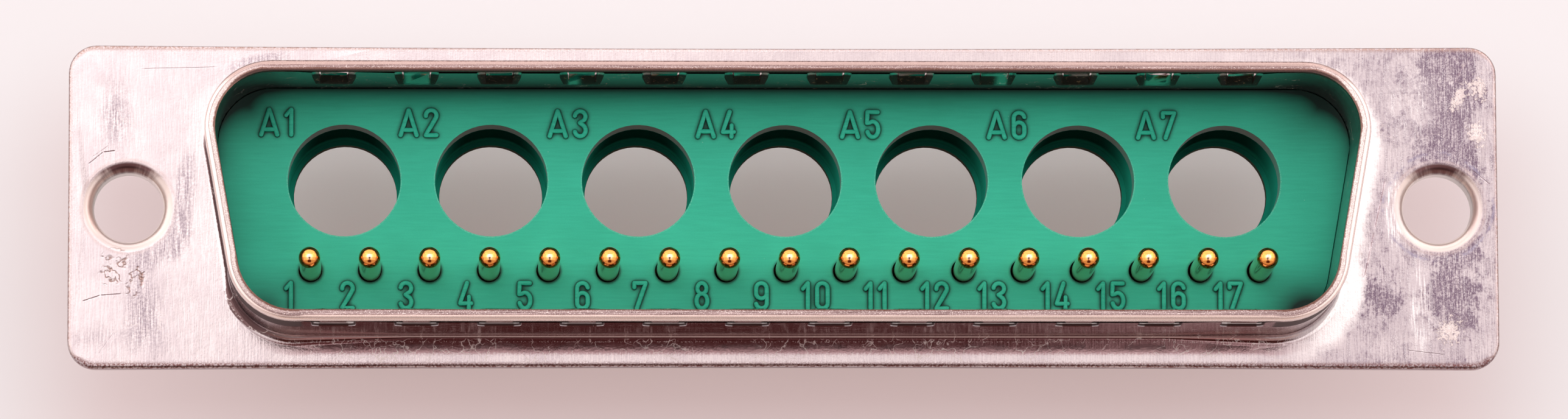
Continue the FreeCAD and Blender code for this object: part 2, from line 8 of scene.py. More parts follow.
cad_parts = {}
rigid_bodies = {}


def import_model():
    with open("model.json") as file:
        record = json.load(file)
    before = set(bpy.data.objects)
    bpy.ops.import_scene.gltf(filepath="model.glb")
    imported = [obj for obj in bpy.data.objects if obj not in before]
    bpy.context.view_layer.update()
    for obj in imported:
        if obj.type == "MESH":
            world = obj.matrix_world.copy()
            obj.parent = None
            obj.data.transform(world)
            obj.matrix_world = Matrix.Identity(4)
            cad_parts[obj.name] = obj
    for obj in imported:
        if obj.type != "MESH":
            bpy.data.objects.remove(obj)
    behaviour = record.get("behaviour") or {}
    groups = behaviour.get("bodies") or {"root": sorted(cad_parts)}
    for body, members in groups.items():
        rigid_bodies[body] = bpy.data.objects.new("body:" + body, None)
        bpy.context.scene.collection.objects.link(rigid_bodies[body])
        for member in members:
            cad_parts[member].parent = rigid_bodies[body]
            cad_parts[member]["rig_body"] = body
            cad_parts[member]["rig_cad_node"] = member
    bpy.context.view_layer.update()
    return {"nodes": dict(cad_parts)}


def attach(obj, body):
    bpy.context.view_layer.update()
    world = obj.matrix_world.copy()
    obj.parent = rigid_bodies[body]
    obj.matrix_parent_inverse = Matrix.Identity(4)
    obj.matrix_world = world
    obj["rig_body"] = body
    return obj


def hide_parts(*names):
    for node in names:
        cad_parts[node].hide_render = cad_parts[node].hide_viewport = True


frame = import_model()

MM = 0.001


# Rear shell: a drawn cup of plated steel sheet behind the flange.
# Its own flange lies on the back of the front one, and the eyelets of the mounting
# holes are flared over it. Its turned-in lip holds the insulators.

def finished_copy(node, name, crease=35.0):
    """A welded copy of a node's mesh, with smooth curves and crisp edges."""
    piece = frame["nodes"][node].copy()
    piece.data = piece.data.copy()
    piece.name = name
    piece.data.name = name
    piece.data.materials.clear()
    bpy.context.scene.collection.objects.link(piece)
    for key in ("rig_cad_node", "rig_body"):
        if key in piece:
            del piece[key]
    piece.parent = None
    mesh = bmesh.new()
    mesh.from_mesh(piece.data)
    bmesh.ops.remove_doubles(mesh, verts=mesh.verts, dist=0.0005 * MM)
    for face in mesh.faces:
        face.smooth = True
    for edge in mesh.edges:
        edge.smooth = edge.calc_face_angle(math.pi) < math.radians(crease)
    mesh.to_mesh(piece.data)
    mesh.free()
    if "custom_normal" in piece.data.attributes:
        piece.data.attributes.remove(piece.data.attributes["custom_normal"])
    weighted = piece.modifiers.new("weighted", "WEIGHTED_NORMAL")
    weighted.keep_sharp = True
    weighted.weight = 100
    return piece


def applied(piece):
    """The same piece with its modifiers worked into a plain mesh."""
    bpy.context.view_layer.update()
    seen = piece.evaluated_get(bpy.context.evaluated_depsgraph_get())
    plain = bpy.data.meshes.new_from_object(seen)
    piece.modifiers.clear()
    piece.data = plain
    piece.data.name = piece.name
    return piece


def coat(piece, finish):
    """Puts one finish on the whole piece."""
    piece.data.materials.clear()
    piece.data.materials.append(finish)


class Signal:
    """One output of a material's node, which adds a Math node for each operation."""

    def __init__(self, finish, socket):
        self.finish = finish
        self.socket = socket

    def math(self, operation, *inputs):
        return self.finish.node("ShaderNodeMath", {"operation": operation}, dict(enumerate(inputs)))

    def __add__(self, other):
        return self.math("ADD", self, other)

    def __radd__(self, other):
        return self.math("ADD", other, self)

    def __sub__(self, other):
        return self.math("SUBTRACT", self, other)

    def __rsub__(self, other):
        return self.math("SUBTRACT", other, self)

    def __mul__(self, other):
        return self.math("MULTIPLY", self, other)

    def __rmul__(self, other):
        return self.math("MULTIPLY", other, self)

    def __truediv__(self, other):
        return self.math("DIVIDE", self, other)

    def __pow__(self, other):
        return self.math("POWER", self, other)

    def __abs__(self):
        return self.math("ABSOLUTE", self)

    def above(self, least):
        return self.math("MAXIMUM", self, least)

    def clamp(self):
        return self.finish.node("ShaderNodeClamp", {}, {"Value": self})

    def ramp(self, low, high):
        """0 below low and 1 above high, with a smooth step between them."""
        return self.finish.node(
            "ShaderNodeMapRange",
            {"interpolation_type": "SMOOTHSTEP"},
            {"Value": self, "From Min": low, "From Max": high},
        )

    def until(self, low, high):
        """1 below low and 0 above high, with a smooth step between them."""
        return 1 - self.ramp(low, high)

    def near(self, value, reach):
        """1 at a value, falling to 0 at that reach on either side of it."""
        return (1 - abs(self - value) / reach).clamp()


class Finish:
    """A material, whose nodes are all added through node()."""

    def __init__(self, name):
        self.material = bpy.data.materials.new(name)
        self.material.use_nodes = True
        self.tree = self.material.node_tree
        self.tree.nodes.clear()
        self.axes = {}
        self.place = self.node("ShaderNodeTexCoord", output="Object")

    def node(self, kind, settings=None, inputs=None, output=0):
        made = self.tree.nodes.new(kind)
        for name, value in (settings or {}).items():
            if name == "stops":
                for stop, (position, colour) in enumerate(value):
                    if stop < 2:
                        made.color_ramp.elements[stop].position = position
                    else:
                        made.color_ramp.elements.new(position)
                    made.color_ramp.elements[stop].color = (*colour, 1.0)
            else:
                setattr(made, name, value)
        for name, value in (inputs or {}).items():
            if isinstance(value, Signal):
                self.tree.links.new(value.socket, made.inputs[name])
            elif value is not None:
                made.inputs[name].default_value = value
        return Signal(self, made.outputs[output])

    def axis(self, name):
        """One coordinate of the place in millimetres."""
        if name not in self.axes:
            self.axes[name] = self.node("ShaderNodeSeparateXYZ", {}, {0: self.place}, name) * (1 / MM)
        return self.axes[name]

    def vector(self, x, y, z):
        return self.node("ShaderNodeCombineXYZ", {}, {"X": x, "Y": y, "Z": z})

    def upward(self):
        """How far the surface faces along the mating axis, from -1 to 1."""
        normal = self.node("ShaderNodeNewGeometry", output="Normal")
        return self.node("ShaderNodeSeparateXYZ", {}, {0: normal}, "Z")

    def stretched(self, across, along):
        """The place in millimetres, squeezed by those lengths, so that a pattern runs along one."""
        scale = (1 / MM / across, 1 / MM / along, 1 / MM / across)
        return self.node("ShaderNodeMapping", {}, {"Vector": self.place, "Scale": scale})

    def noise(self, size, detail=3.0, rough=0.55, vector=None, shift=0.0):
        """Noise with features of about that size in millimetres."""
        return self.node(
            "ShaderNodeTexNoise",
            {"noise_dimensions": "4D"},
            {
                "Vector": vector or self.stretched(1, 1),
                "W": shift,
                "Scale": 1 / size,
                "Detail": detail,
                "Roughness": rough,
            },
        )

    def mix(self, factor, low, high):
        """Two colours mixed by a factor."""
        def colour(value):
            return value if isinstance(value, Signal) else (*value, 1.0)

        return self.node(
            "ShaderNodeMix",
            {"data_type": "RGBA"},
            {0: factor, 6: colour(low), 7: colour(high)},
            2,
        )

    def spot(self, x, y, reach_x, reach_y, turn=0.0):
        """1 at a point of the flange, falling to 0 at the ellipse with those reaches."""
        lean = math.radians(turn)
        from_x = self.axis("X") - x
        from_y = self.axis("Y") - y
        along = (from_x * math.cos(lean) + from_y * math.sin(lean)) / reach_x
        across = (from_y * math.cos(lean) - from_x * math.sin(lean)) / reach_y
        return (1 - (along * along + across * across) ** 0.5).clamp()

    def bump(self, height, strength, distance, normal=None):
        return self.node(
            "ShaderNodeBump",
            {},
            {"Height": height, "Strength": strength, "Distance": distance * MM, "Normal": normal},
        )

    def shader(self, **inputs):
        """A Principled shader with those inputs."""
        named = {name.replace("_", " "): value for name, value in inputs.items()}
        return self.node("ShaderNodeBsdfPrincipled", {}, named)

    def surface(self, **inputs):
        """Ends the material in one Principled shader with those inputs."""
        return self.end_in(self.shader(**inputs))

    def end_in(self, shader, kind="Material"):
        end = self.tree.nodes.new(f"ShaderNodeOutput{kind}")
        self.tree.links.new(shader.socket, end.inputs["Surface"])
        return self.material


def plated_steel(name, wear):
    """Satin nickel plate over drawn steel, with a fine grain that runs along Y."""
    steel = Finish(name)
    grain = steel.noise(0.07, 3, 0.6, steel.stretched(1.0, 20.0))
    peel = steel.noise(0.14, 2, 0.5)
    wave = steel.noise(2.6, 2, 0.5)
    cloud = steel.noise(1.6, 4, 0.6, shift=3.0)
    tone = steel.mix(cloud.ramp(0.4, 0.75) * wear, (0.62, 0.56, 0.565), (0.48, 0.425, 0.45))
    rough = 0.1 + grain * 0.05 + cloud * 0.04
    height = grain * 0.0012 + peel * 0.0016 + wave * 0.012
    bumped = steel.bump(height, 1.0, 1.0)
    return steel.surface(Base_Color=tone, Metallic=1.0, Roughness=rough, Normal=bumped)


rear_steel = plated_steel("rear_plated_steel", 0.6)
rear_shell = finished_copy("rear_shell", "rear_shell_sheet")
applied(rear_shell)
coat(rear_shell, rear_steel)
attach(rear_shell, "root")
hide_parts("rear_shell")


# Rear insulator: a moulding of green glass-filled plastic inside the rear shell.
# The pins' shoulders sit in its face and its boss stands out behind the lip. The walls
# of its seven cavities are seen as the dark band inside each opening.

CAVITY_PITCH = 6.84
CAVITY_ROW = 1.2
CAVITY_RADIUS = 2.625
CAVITY_ROW_END = 23.3
JOINT = -1.1
INNER_CORNER = (23.805, 2.935)
CORNER_RADIUS = 2.6
SIDE_LEAN = math.radians(10)


def outline_distance(finish):
    """How far a point lies outside the collar's inner outline, in millimetres."""
    along = finish.axis("X")
    up = finish.axis("Y")
    past_side = (abs(along) - INNER_CORNER[0]) * math.cos(SIDE_LEAN)
    beside = (past_side - (up - INNER_CORNER[1]) * math.sin(SIDE_LEAN)).above(0.0)
    above = (abs(up) - INNER_CORNER[1]).above(0.0)
    meeting = beside * above * up.math("SIGN", up) * (2 * math.sin(SIDE_LEAN))
    return (beside * beside + above * above + meeting).above(0.0) ** 0.5 - CORNER_RADIUS


def green_plastic(name, lit, shaded, shine=0.22):
    """Satin moulded plastic with faint flow lines along the part. Its colour has painted shade in its
    creases and along the collar's inner wall, painted shade and reflection in its cavities, and a painted
    highlight on their edges.
    """
    plastic = Finish(name)
    along = plastic.axis("X")
    up = plastic.axis("Y")
    high = plastic.axis("Z")
    flow = plastic.noise(0.25, 4, 0.6, plastic.stretched(6.0, 0.5))
    cloud = plastic.noise(3.0, 3, 0.5)
    speck = plastic.noise(0.06, 2, 0.6)
    tone = plastic.mix((flow * 0.45 + cloud * 0.35 + speck * 0.2).ramp(0.34, 0.66), shaded, lit)

    # Painted shade: the creases beside the raised marks, a band along the collar's inner wall that is
    # darkest under its wide side, and its corners.
    crease = plastic.node("ShaderNodeAmbientOcclusion", {"samples": 8}, {"Distance": 0.22 * MM}, "AO")
    inward = abs(up).until(4.85, 5.0) * abs(along).until(24.6, 25.0)
    deep = tuple(0.10 * value for value in shaded)
    tone = plastic.mix(crease.until(0.66, 0.98) * inward, tone, deep)
    near_wall = (outline_distance(plastic) / CORNER_RADIUS + 1).clamp() ** 4
    corners = (
        plastic.spot(-24.9, 4.6, 2.6, 2.6) + plastic.spot(24.9, 4.6, 3.4, 3.0)
        + plastic.spot(-24.2, -5.0, 2.6, 2.8) * 1.2 + plastic.spot(24.2, -5.0, 3.0, 3.0) * 1.5
    )
    shade = near_wall * (0.32 + up.ramp(0.5, 4.6) * 0.74) + corners * corners * 0.6
    tone = plastic.mix(shade.clamp(), tone, (0.0, 0.02, 0.015))

    # The cavities' walls: glossy in front of the moulding joint, green at the sides, brown near the back,
    # with a dark line at the joint. Their upper side has painted reflection, brown-grey, in front of the
    # joint, and painted shade behind it, near black and dark green further in.
    from_centre = along.math("WRAP", along, CAVITY_PITCH / 2, -CAVITY_PITCH / 2)
    from_row = up - CAVITY_ROW
    radius = (from_centre * from_centre + from_row * from_row) ** 0.5
    overhead = (from_row / radius).ramp(0.0, 0.92)
    front_wall = plastic.mix(overhead, (0.04, 0.36, 0.27), (0.085, 0.075, 0.06))
    upper_bore_shade = plastic.mix(high.ramp(-4.4, -3.6), (0.010, 0.13, 0.095), (0.003, 0.028, 0.022))
    rear_wall = plastic.mix(overhead, (0.03, 0.50, 0.36), upper_bore_shade)
    rear_wall = plastic.mix(high.ramp(-5.0, -5.15) * 0.9, rear_wall, (0.11, 0.075, 0.065))
    wall_tone = plastic.mix(high.ramp(JOINT - 0.02, JOINT + 0.02), rear_wall, front_wall)
    wall_tone = plastic.mix(high.near(JOINT, 0.06), wall_tone, (0.02, 0.17, 0.13))
    in_row = abs(along).until(CAVITY_ROW_END, CAVITY_ROW_END + 0.2)
    bore = radius.until(CAVITY_RADIUS + 0.01, CAVITY_RADIUS + 0.03) * high.until(0.22, 0.29) * in_row
    tone = plastic.mix(bore, tone, wall_tone)
    # Painted highlight: a pale green ring on each opening's edge, away from its upper side.
    lip = radius.near(CAVITY_RADIUS + 0.03, 0.035) * high.ramp(0.2, 0.28) * (1 - overhead)
    lip = lip * in_row * speck.ramp(0.4, 0.6)
    tone = plastic.mix(lip * 0.6, tone, (0.30, 0.72, 0.58))

    # Dust: a few pale specks.
    cells = {"Vector": plastic.stretched(1, 1), "Scale": 1 / 0.9}
    spread = plastic.node("ShaderNodeTexVoronoi", {}, cells, "Distance")
    cell_colour = plastic.node("ShaderNodeTexVoronoi", {}, cells, "Color")
    chance = plastic.node("ShaderNodeSeparateColor", {}, {0: cell_colour})
    dust = (1 - spread / (0.015 + chance * 0.02)).clamp() * chance.ramp(0.45, 0.75) * inward
    tone = plastic.mix(dust * 0.7, tone, (0.50, 0.78, 0.68))
    rough = 0.36 + flow * 0.12
    bumped = plastic.bump(flow * 0.5 + speck * 0.5, 1.0, 0.004)
    return plastic.surface(
        Base_Color=tone, Roughness=rough, Normal=bumped, Specular_IOR_Level=shine
    )


rear_green = green_plastic("rear_green_plastic", (0.015, 0.36, 0.23), (0.012, 0.31, 0.2), shine=0.0)
rear_insulator = finished_copy("rear_insulator", "rear_insulator_moulding")
applied(rear_insulator)
coat(rear_insulator, rear_green)
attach(rear_insulator, "root")
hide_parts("rear_insulator")


# Signal pins: seventeen turned contacts of gold plated copper alloy, held by their
# shoulders between the insulators. Each has a round nose in front and a solder cup,
# open on its lower side, behind.

PIN_COUNT = 17
PIN_PITCH = 2.76
PIN_ROW = -3.02
NOSE_CENTRE = 4.98
NOSE_RADIUS = 0.5
SHANK_FOOT = 0.15
SHANK_RADIUS = 0.52
SHOULDER_RADIUS = 1.05
SEAT = -1.9
CUP_END = -8.7
CUP_RADIUS = 0.9
CUP_BORE = 0.6
CUP_EDGE = 0.12
CUP_FLOOR = CUP_END + 2.6
WINDOW_END = CUP_END + 1.8
TURNING_STEPS = 48


def lathe(mesh, profile, start=0.0, sweep=360.0):
    """Adds a surface turned about Z from (radius, height) points given from top to bottom."""
    steps = round(TURNING_STEPS * sweep / 360)
    rings = []
    for step in range(steps + 1):
        angle = math.radians(start + sweep * step / steps)
        rings.append([
            mesh.verts.new((radius * MM * math.cos(angle), radius * MM * math.sin(angle), height * MM))
            for radius, height in profile
        ])
    for ring, following in zip(rings, rings[1:]):
        for upper in range(len(profile) - 1):
            corners = (ring[upper], ring[upper + 1], following[upper + 1], following[upper])
            mesh.faces.new(corners)
    return rings


nose = [
    (NOSE_RADIUS * math.sin(math.radians(turn)), NOSE_CENTRE + NOSE_RADIUS * math.cos(math.radians(turn)))
    for turn in range(0, 91, 6)
]
body = nose + [
    (NOSE_RADIUS, SHANK_FOOT),
    (SHANK_RADIUS, JOINT),
    (SHOULDER_RADIUS, JOINT),
    (SHOULDER_RADIUS, SEAT),
    (CUP_RADIUS, SEAT),
    (CUP_RADIUS, WINDOW_END),
]
turned = bmesh.new()
lathe(turned, body)
lathe(turned, [(CUP_BORE, WINDOW_END), (CUP_BORE, CUP_FLOOR), (0.0, CUP_FLOOR)])
half_cup = [
    (CUP_RADIUS, WINDOW_END),
    (CUP_RADIUS, CUP_END + CUP_EDGE),
    (CUP_RADIUS - CUP_EDGE, CUP_END),
    (CUP_BORE, CUP_END),
    (CUP_BORE, WINDOW_END),
]
rings = lathe(turned, half_cup, 0.0, 180.0)
for ring in (rings[0], rings[-1]):
    turned.faces.new(ring)
lathe(turned, [(CUP_RADIUS, WINDOW_END), (CUP_BORE, WINDOW_END)], 180.0, 180.0)
bmesh.ops.remove_doubles(turned, verts=turned.verts, dist=0.0005 * MM)
bmesh.ops.recalc_face_normals(turned, faces=turned.faces)
for face in turned.faces:
    face.smooth = True
for edge in turned.edges:
    edge.smooth = edge.calc_face_angle(math.pi) < math.radians(30)
pin_mesh = bpy.data.meshes.new("signal_pin_turned")
turned.to_mesh(pin_mesh)
turned.free()

gold = Finish("gold_plate")
gold_cloud = gold.noise(0.5, 3, 0.6)
gold_fine = gold.noise(0.04, 2, 0.5)
facing_up = gold.upward()
orange = gold.mix(gold_cloud.ramp(0.35, 0.7), (1.0, 0.52, 0.18), (0.95, 0.43, 0.13))
# Painted reflection: a deep orange ring round each nose, and a painted highlight, pale, on its tip.
nose_ring_reflection = facing_up.ramp(0.15, 0.4) * facing_up.until(0.90, 0.97)
ring_reflected_gold = gold.mix(nose_ring_reflection, orange, (0.84, 0.33, 0.08))
highlighted_gold = gold.mix(facing_up.ramp(0.955, 0.99), ring_reflected_gold, (1.0, 0.76, 0.50))
# Painted shade: near black on the shank where it stands in the insulator's hole.
hole_shade = gold.axis("Z").ramp(-1.3, -1.2) * gold.axis("Z").until(-0.3, 0.3)
gold_plate = gold.surface(
    Base_Color=gold.mix(hole_shade, highlighted_gold, (0.02, 0.012, 0.008)),
    Metallic=1.0,
    Roughness=0.1 + gold_cloud * 0.06,
    Normal=gold.bump(gold_fine, 0.08, 0.005),
)


def new_tree(name, inputs):
    """A geometry node tree with named inputs, and a maker of its nodes."""
    tree = bpy.data.node_groups.new(name, "GeometryNodeTree")
    tree.interface.new_socket("Geometry", in_out="OUTPUT", socket_type="NodeSocketGeometry")
    for label, kind in inputs:
        tree.interface.new_socket(label, in_out="INPUT", socket_type=kind)
    start = tree.nodes.new("NodeGroupInput")

    def add(kind, settings=None, links=None):
        made = tree.nodes.new(kind)
        for key, value in (settings or {}).items():
            setattr(made, key, value)
        for key, value in (links or {}).items():
            if isinstance(value, str):
                tree.links.new(start.outputs[value], made.inputs[key])
            elif isinstance(value, tuple) and isinstance(value[0], bpy.types.Node):
                tree.links.new(value[0].outputs[value[1]], made.inputs[key])
            else:
                made.inputs[key].default_value = value
        return made

    return tree, add


def grown(name, tree, values, mesh=None):
    """A piece whose mesh comes from a geometry node tree, with its inputs set."""
    piece = bpy.data.objects.new(name, mesh or bpy.data.meshes.new(name))
    bpy.context.scene.collection.objects.link(piece)
    modifier = piece.modifiers.new(name, "NODES")
    modifier.node_group = tree
    for item in tree.interface.items_tree:
        if item.item_type == "SOCKET" and item.in_out == "INPUT" and item.name in values:
            modifier[item.identifier] = values[item.name]
    return applied(piece)


pattern = bpy.data.objects.new("signal_pin_pattern", pin_mesh)
row_tree, add_to_row = new_tree("pin_row", [
    ("Pin", "NodeSocketObject"),
    ("Count", "NodeSocketInt"),
    ("Pitch", "NodeSocketFloat"),
    ("Start", "NodeSocketVector"),
    ("Plate", "NodeSocketMaterial"),
])
step = add_to_row("ShaderNodeCombineXYZ", {}, {"X": "Pitch"})
line = add_to_row("GeometryNodeMeshLine", {"mode": "OFFSET"}, {
    "Count": "Count", "Start Location": "Start", "Offset": (step, "Vector"),
})
shape = add_to_row("GeometryNodeObjectInfo", {}, {"Object": "Pin"})
copies = add_to_row("GeometryNodeInstanceOnPoints", {}, {
    "Points": (line, "Mesh"), "Instance": (shape, "Geometry"),
})
row_mesh = add_to_row("GeometryNodeRealizeInstances", {}, {"Geometry": (copies, "Instances")})
plated = add_to_row("GeometryNodeSetMaterial", {}, {
    "Geometry": (row_mesh, "Geometry"), "Material": "Plate",
})
add_to_row("NodeGroupOutput", {}, {"Geometry": (plated, "Geometry")})
signal_pins = grown("signal_pins", row_tree, {
    "Pin": pattern,
    "Count": PIN_COUNT,
    "Pitch": PIN_PITCH * MM,
    "Start": ((0.02 - (PIN_COUNT - 1) / 2 * PIN_PITCH) * MM, (PIN_ROW - 0.02) * MM, 0.0),
    "Plate": gold_plate,
})
bpy.data.objects.remove(pattern)
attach(signal_pins, "root")
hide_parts(*[f"signal_pin_{number:02d}" for number in range(1, PIN_COUNT + 1)])


# Front insulator: the green moulding seen inside the collar, clamped by its edge
# between the two shells. The pins pass through its lower row of holes, and the seven
# round cavities are open.

front_green = green_plastic("front_green_plastic", (0.042, 0.58, 0.385), (0.032, 0.50, 0.325))
front_insulator = finished_copy("front_insulator", "front_insulator_moulding")
applied(front_insulator)
EDGE_GAP = 0.13
CLOSED_GAP = 0.012
EDGE_ROUND = 0.15
EDGE_CRISPNESS = 5
EDGE_FOOT = -0.51
FACE = 0.3


def outline_gap(x, y):
    """How far a point lies outside the collar's inner outline, in millimetres."""
    past_side = (abs(x) - INNER_CORNER[0]) * math.cos(SIDE_LEAN)
    beside = past_side - (y - INNER_CORNER[1]) * math.sin(SIDE_LEAN)
    above = abs(y) - INNER_CORNER[1]
    if beside <= 0 or above <= 0:
        return max(beside, above) - CORNER_RADIUS
    meeting = 2 * beside * above * math.copysign(math.sin(SIDE_LEAN), y)
    return math.sqrt(beside * beside + above * above + meeting) / math.cos(SIDE_LEAN) - CORNER_RADIUS


def outline_slope(x, y):
    """The direction straight away from that outline."""
    reach = 0.01
    slope_x = (outline_gap(x + reach, y) - outline_gap(x - reach, y)) / (2 * reach)
    slope_y = (outline_gap(x, y + reach) - outline_gap(x, y - reach)) / (2 * reach)
    return slope_x, slope_y


# The moulding's edge is crisp and nearly fills the collar.
for vertex in front_insulator.data.vertices:
    x, y, z = (value / MM for value in vertex.co)
    inset = -outline_gap(x, y)
    if z > EDGE_FOOT and EDGE_GAP - 0.02 < inset < EDGE_GAP + EDGE_ROUND + 0.02:
        slope_x, slope_y = outline_slope(x, y)
        outward = inset - (CLOSED_GAP + (inset - EDGE_GAP) / EDGE_CRISPNESS)
        if z > 0:
            z = FACE - (FACE - z) / EDGE_CRISPNESS
        vertex.co = ((x + slope_x * outward) * MM, (y + slope_y * outward) * MM, z * MM)
coat(front_insulator, front_green)
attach(front_insulator, "root")
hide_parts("front_insulator")


# Position marks: the numbers of the cavities and pins, moulded as raised strokes on
# the front insulator's face. The strokes have steep sides, flat tops and round ends.

CAP_HEIGHT = 1.17
LETTER_GAP = 0.43
STROKE_SECTION = [(0.0, 0.15), (0.055, 0.145), (0.088, 0.128), (0.108, 0.085), (0.124, 0.0)]


def bend(x, y, across, up, start, end):
    """Points of an arc of a stroke, in shares of the cap height."""
    steps = max(3, round(abs(end - start) / 12))
    turns = [math.radians(start + (end - start) * step / steps) for step in range(steps + 1)]
    return [(x + across * math.cos(turn), y + up * math.sin(turn)) for turn in turns]


def turned_about(strokes, width):
    return [[(width - x, 1 - y) for x, y in stroke] for stroke in strokes]


SIX = [
    bend(0.21, 0.79, 0.21, 0.21, 8, 180) + bend(0.21, 0.21, 0.21, 0.21, 180, 360)
    + bend(0.21, 0.4, 0.21, 0.21, 0, 180),
]
STROKES = {
    "A": (0.635, [[(0, 0), (0.3175, 1)], [(0.3175, 1), (0.635, 0)], [(0.07, 0.21), (0.565, 0.21)]]),
    "0": (0.42, [
        bend(0.21, 0.79, 0.21, 0.21, 0, 180) + bend(0.21, 0.21, 0.21, 0.21, 180, 360) + [(0.42, 0.79)],
    ]),
    "1": (0.19, [[(0, 0.78), (0.19, 1)], [(0.19, 1), (0.19, 0)]]),
    "2": (0.42, [bend(0.21, 0.79, 0.21, 0.21, 185, -30) + [(0, 0)], [(0, 0), (0.42, 0)]]),
    "3": (0.42, [
        bend(0.21, 0.79, 0.21, 0.21, 172, -50) + [(0.2, 0.54)],
        [(0.2, 0.54)] + bend(0.21, 0.24, 0.215, 0.24, 55, -165),
    ]),
    "4": (0.43, [[(0.27, 1), (0, 0.19)], [(0, 0.19), (0.43, 0.19)], [(0.34, 0.45), (0.34, 0)]]),
    "5": (0.44, [
        [(0.42, 1), (0.02, 1)], [(0.02, 1), (0, 0.56)],
        [(0, 0.56)] + bend(0.22, 0.31, 0.22, 0.31, 118, -160),
    ]),
    "6": (0.42, SIX),
    "7": (0.45, [[(0, 0.84), (0, 1)], [(0, 1), (0.45, 1)], [(0.45, 1), (0.1, 0)]]),
    "8": (0.43, [bend(0.215, 0.79, 0.175, 0.21, 0, 360), bend(0.215, 0.29, 0.215, 0.29, 0, 360)]),
    "9": (0.42, turned_about(SIX, 0.42)),
}
CAVITY_MARKS = [
    ("A1", -24.385, 3.342), ("A2", -17.9, 3.322), ("A3", -10.96, 3.28), ("A4", -4.06, 3.271),
    ("A5", 2.67, 3.262), ("A6", 9.52, 3.242), ("A7", 16.5, 3.236),
]
PIN_MARKS = [
    ("1", -23.2), ("2", -20.6), ("3", -17.89), ("4", -15.12), ("5", -12.38), ("6", -9.69),
    ("7", -7.03), ("8", -4.14), ("9", -1.365), ("10", 0.82), ("11", 3.74), ("12", 6.375),
    ("13", 9.04), ("14", 11.99), ("15", 14.58), ("16", 17.42), ("17", 20.06),
]
PIN_MARK_FOOT = -4.79
strokes = []
for text, left, foot in CAVITY_MARKS + [(text, left, PIN_MARK_FOOT) for text, left in PIN_MARKS]:
    for letter in text:
        width, lines = STROKES[letter]
        strokes += [
            [(left + x * CAP_HEIGHT, foot + y * CAP_HEIGHT) for x, y in points] for points in lines
        ]
        left += width * CAP_HEIGHT + LETTER_GAP
SUNK = 0.01


def poly_curve(name, lines):
    """An object with an open polyline for each list of points, in millimetres."""
    curve = bpy.data.curves.new(name, "CURVE")
    curve.dimensions = "3D"
    for line in lines:
        spline = curve.splines.new("POLY")
        spline.points.add(len(line) - 1)
        for point, (x, y, z) in zip(spline.points, line):
            point.co = (x * MM, y * MM, z * MM, 1.0)
    return bpy.data.objects.new(name, curve)


stroke_paths = poly_curve("mark_strokes", [[(x, y, FACE - SUNK) for x, y in line] for line in strokes])
tips = {(round(x, 3), round(y, 3)) for line in strokes for x, y in (line[0], line[-1])}
tip_mesh = bpy.data.meshes.new("stroke_tips")
tip_mesh.from_pydata([(x * MM, y * MM, (FACE - SUNK) * MM) for x, y in sorted(tips)], [], [])
stroke_tips = bpy.data.objects.new("stroke_tips", tip_mesh)

# A swept section hangs below its path, so it is drawn upside down.
half = [(x, -y, 0.0) for x, y in STROKE_SECTION]
stroke_section = poly_curve("stroke_section", [half[::-1] + [(-x, y, z) for x, y, z in half[1:]]])
tip_dome = bpy.data.meshes.new("stroke_tip")
dome = bmesh.new()
lathe(dome, STROKE_SECTION)
bmesh.ops.remove_doubles(dome, verts=dome.verts, dist=0.0005 * MM)
bmesh.ops.recalc_face_normals(dome, faces=dome.faces)
dome.to_mesh(tip_dome)
dome.free()
stroke_tip = bpy.data.objects.new("stroke_tip", tip_dome)

mark_tree, add_to_marks = new_tree("raised_strokes", [
    ("Strokes", "NodeSocketObject"),
    ("Section", "NodeSocketObject"),
    ("Tips", "NodeSocketObject"),
    ("Dome", "NodeSocketObject"),
    ("Plastic", "NodeSocketMaterial"),
])
paths = add_to_marks("GeometryNodeObjectInfo", {}, {"Object": "Strokes"})
section = add_to_marks("GeometryNodeObjectInfo", {}, {"Object": "Section"})
tip_points = add_to_marks("GeometryNodeObjectInfo", {}, {"Object": "Tips"})
round_end = add_to_marks("GeometryNodeObjectInfo", {}, {"Object": "Dome"})
level_paths = add_to_marks("GeometryNodeSetCurveNormal", {"mode": "Z_UP"}, {"Curve": (paths, "Geometry")})
ridge = add_to_marks("GeometryNodeCurveToMesh", {}, {
    "Curve": (level_paths, "Curve"), "Profile Curve": (section, "Geometry"),
})
capped = add_to_marks("GeometryNodeInstanceOnPoints", {}, {
    "Points": (tip_points, "Geometry"), "Instance": (round_end, "Geometry"),
})
both = add_to_marks("GeometryNodeJoinGeometry", {}, {"Geometry": (ridge, "Mesh")})
mark_tree.links.new(capped.outputs["Instances"], both.inputs["Geometry"])
mark_mesh = add_to_marks("GeometryNodeRealizeInstances", {}, {"Geometry": (both, "Geometry")})
dyed = add_to_marks("GeometryNodeSetMaterial", {}, {
    "Geometry": (mark_mesh, "Geometry"), "Material": "Plastic",
})
add_to_marks("NodeGroupOutput", {}, {"Geometry": (dyed, "Geometry")})
# The raised marks take a lighter green than the face, a painted highlight on the same plastic.
highlit_mark_green = green_plastic("mark_green_plastic", (0.045, 0.66, 0.44), (0.018, 0.46, 0.30))
position_marks = grown("position_marks", mark_tree, {
    "Strokes": stroke_paths, "Section": stroke_section, "Tips": stroke_tips, "Dome": stroke_tip,
    "Plastic": highlit_mark_green,
})
for helper in (stroke_paths, stroke_section, stroke_tips, stroke_tip):
    bpy.data.objects.remove(helper)
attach(position_marks, "root")


# Front shell: flange, D collar, dimples and eyelets drawn from one sheet of plated
# steel. The plate is satin and scuffed, and bare metal shows at the cut rim.

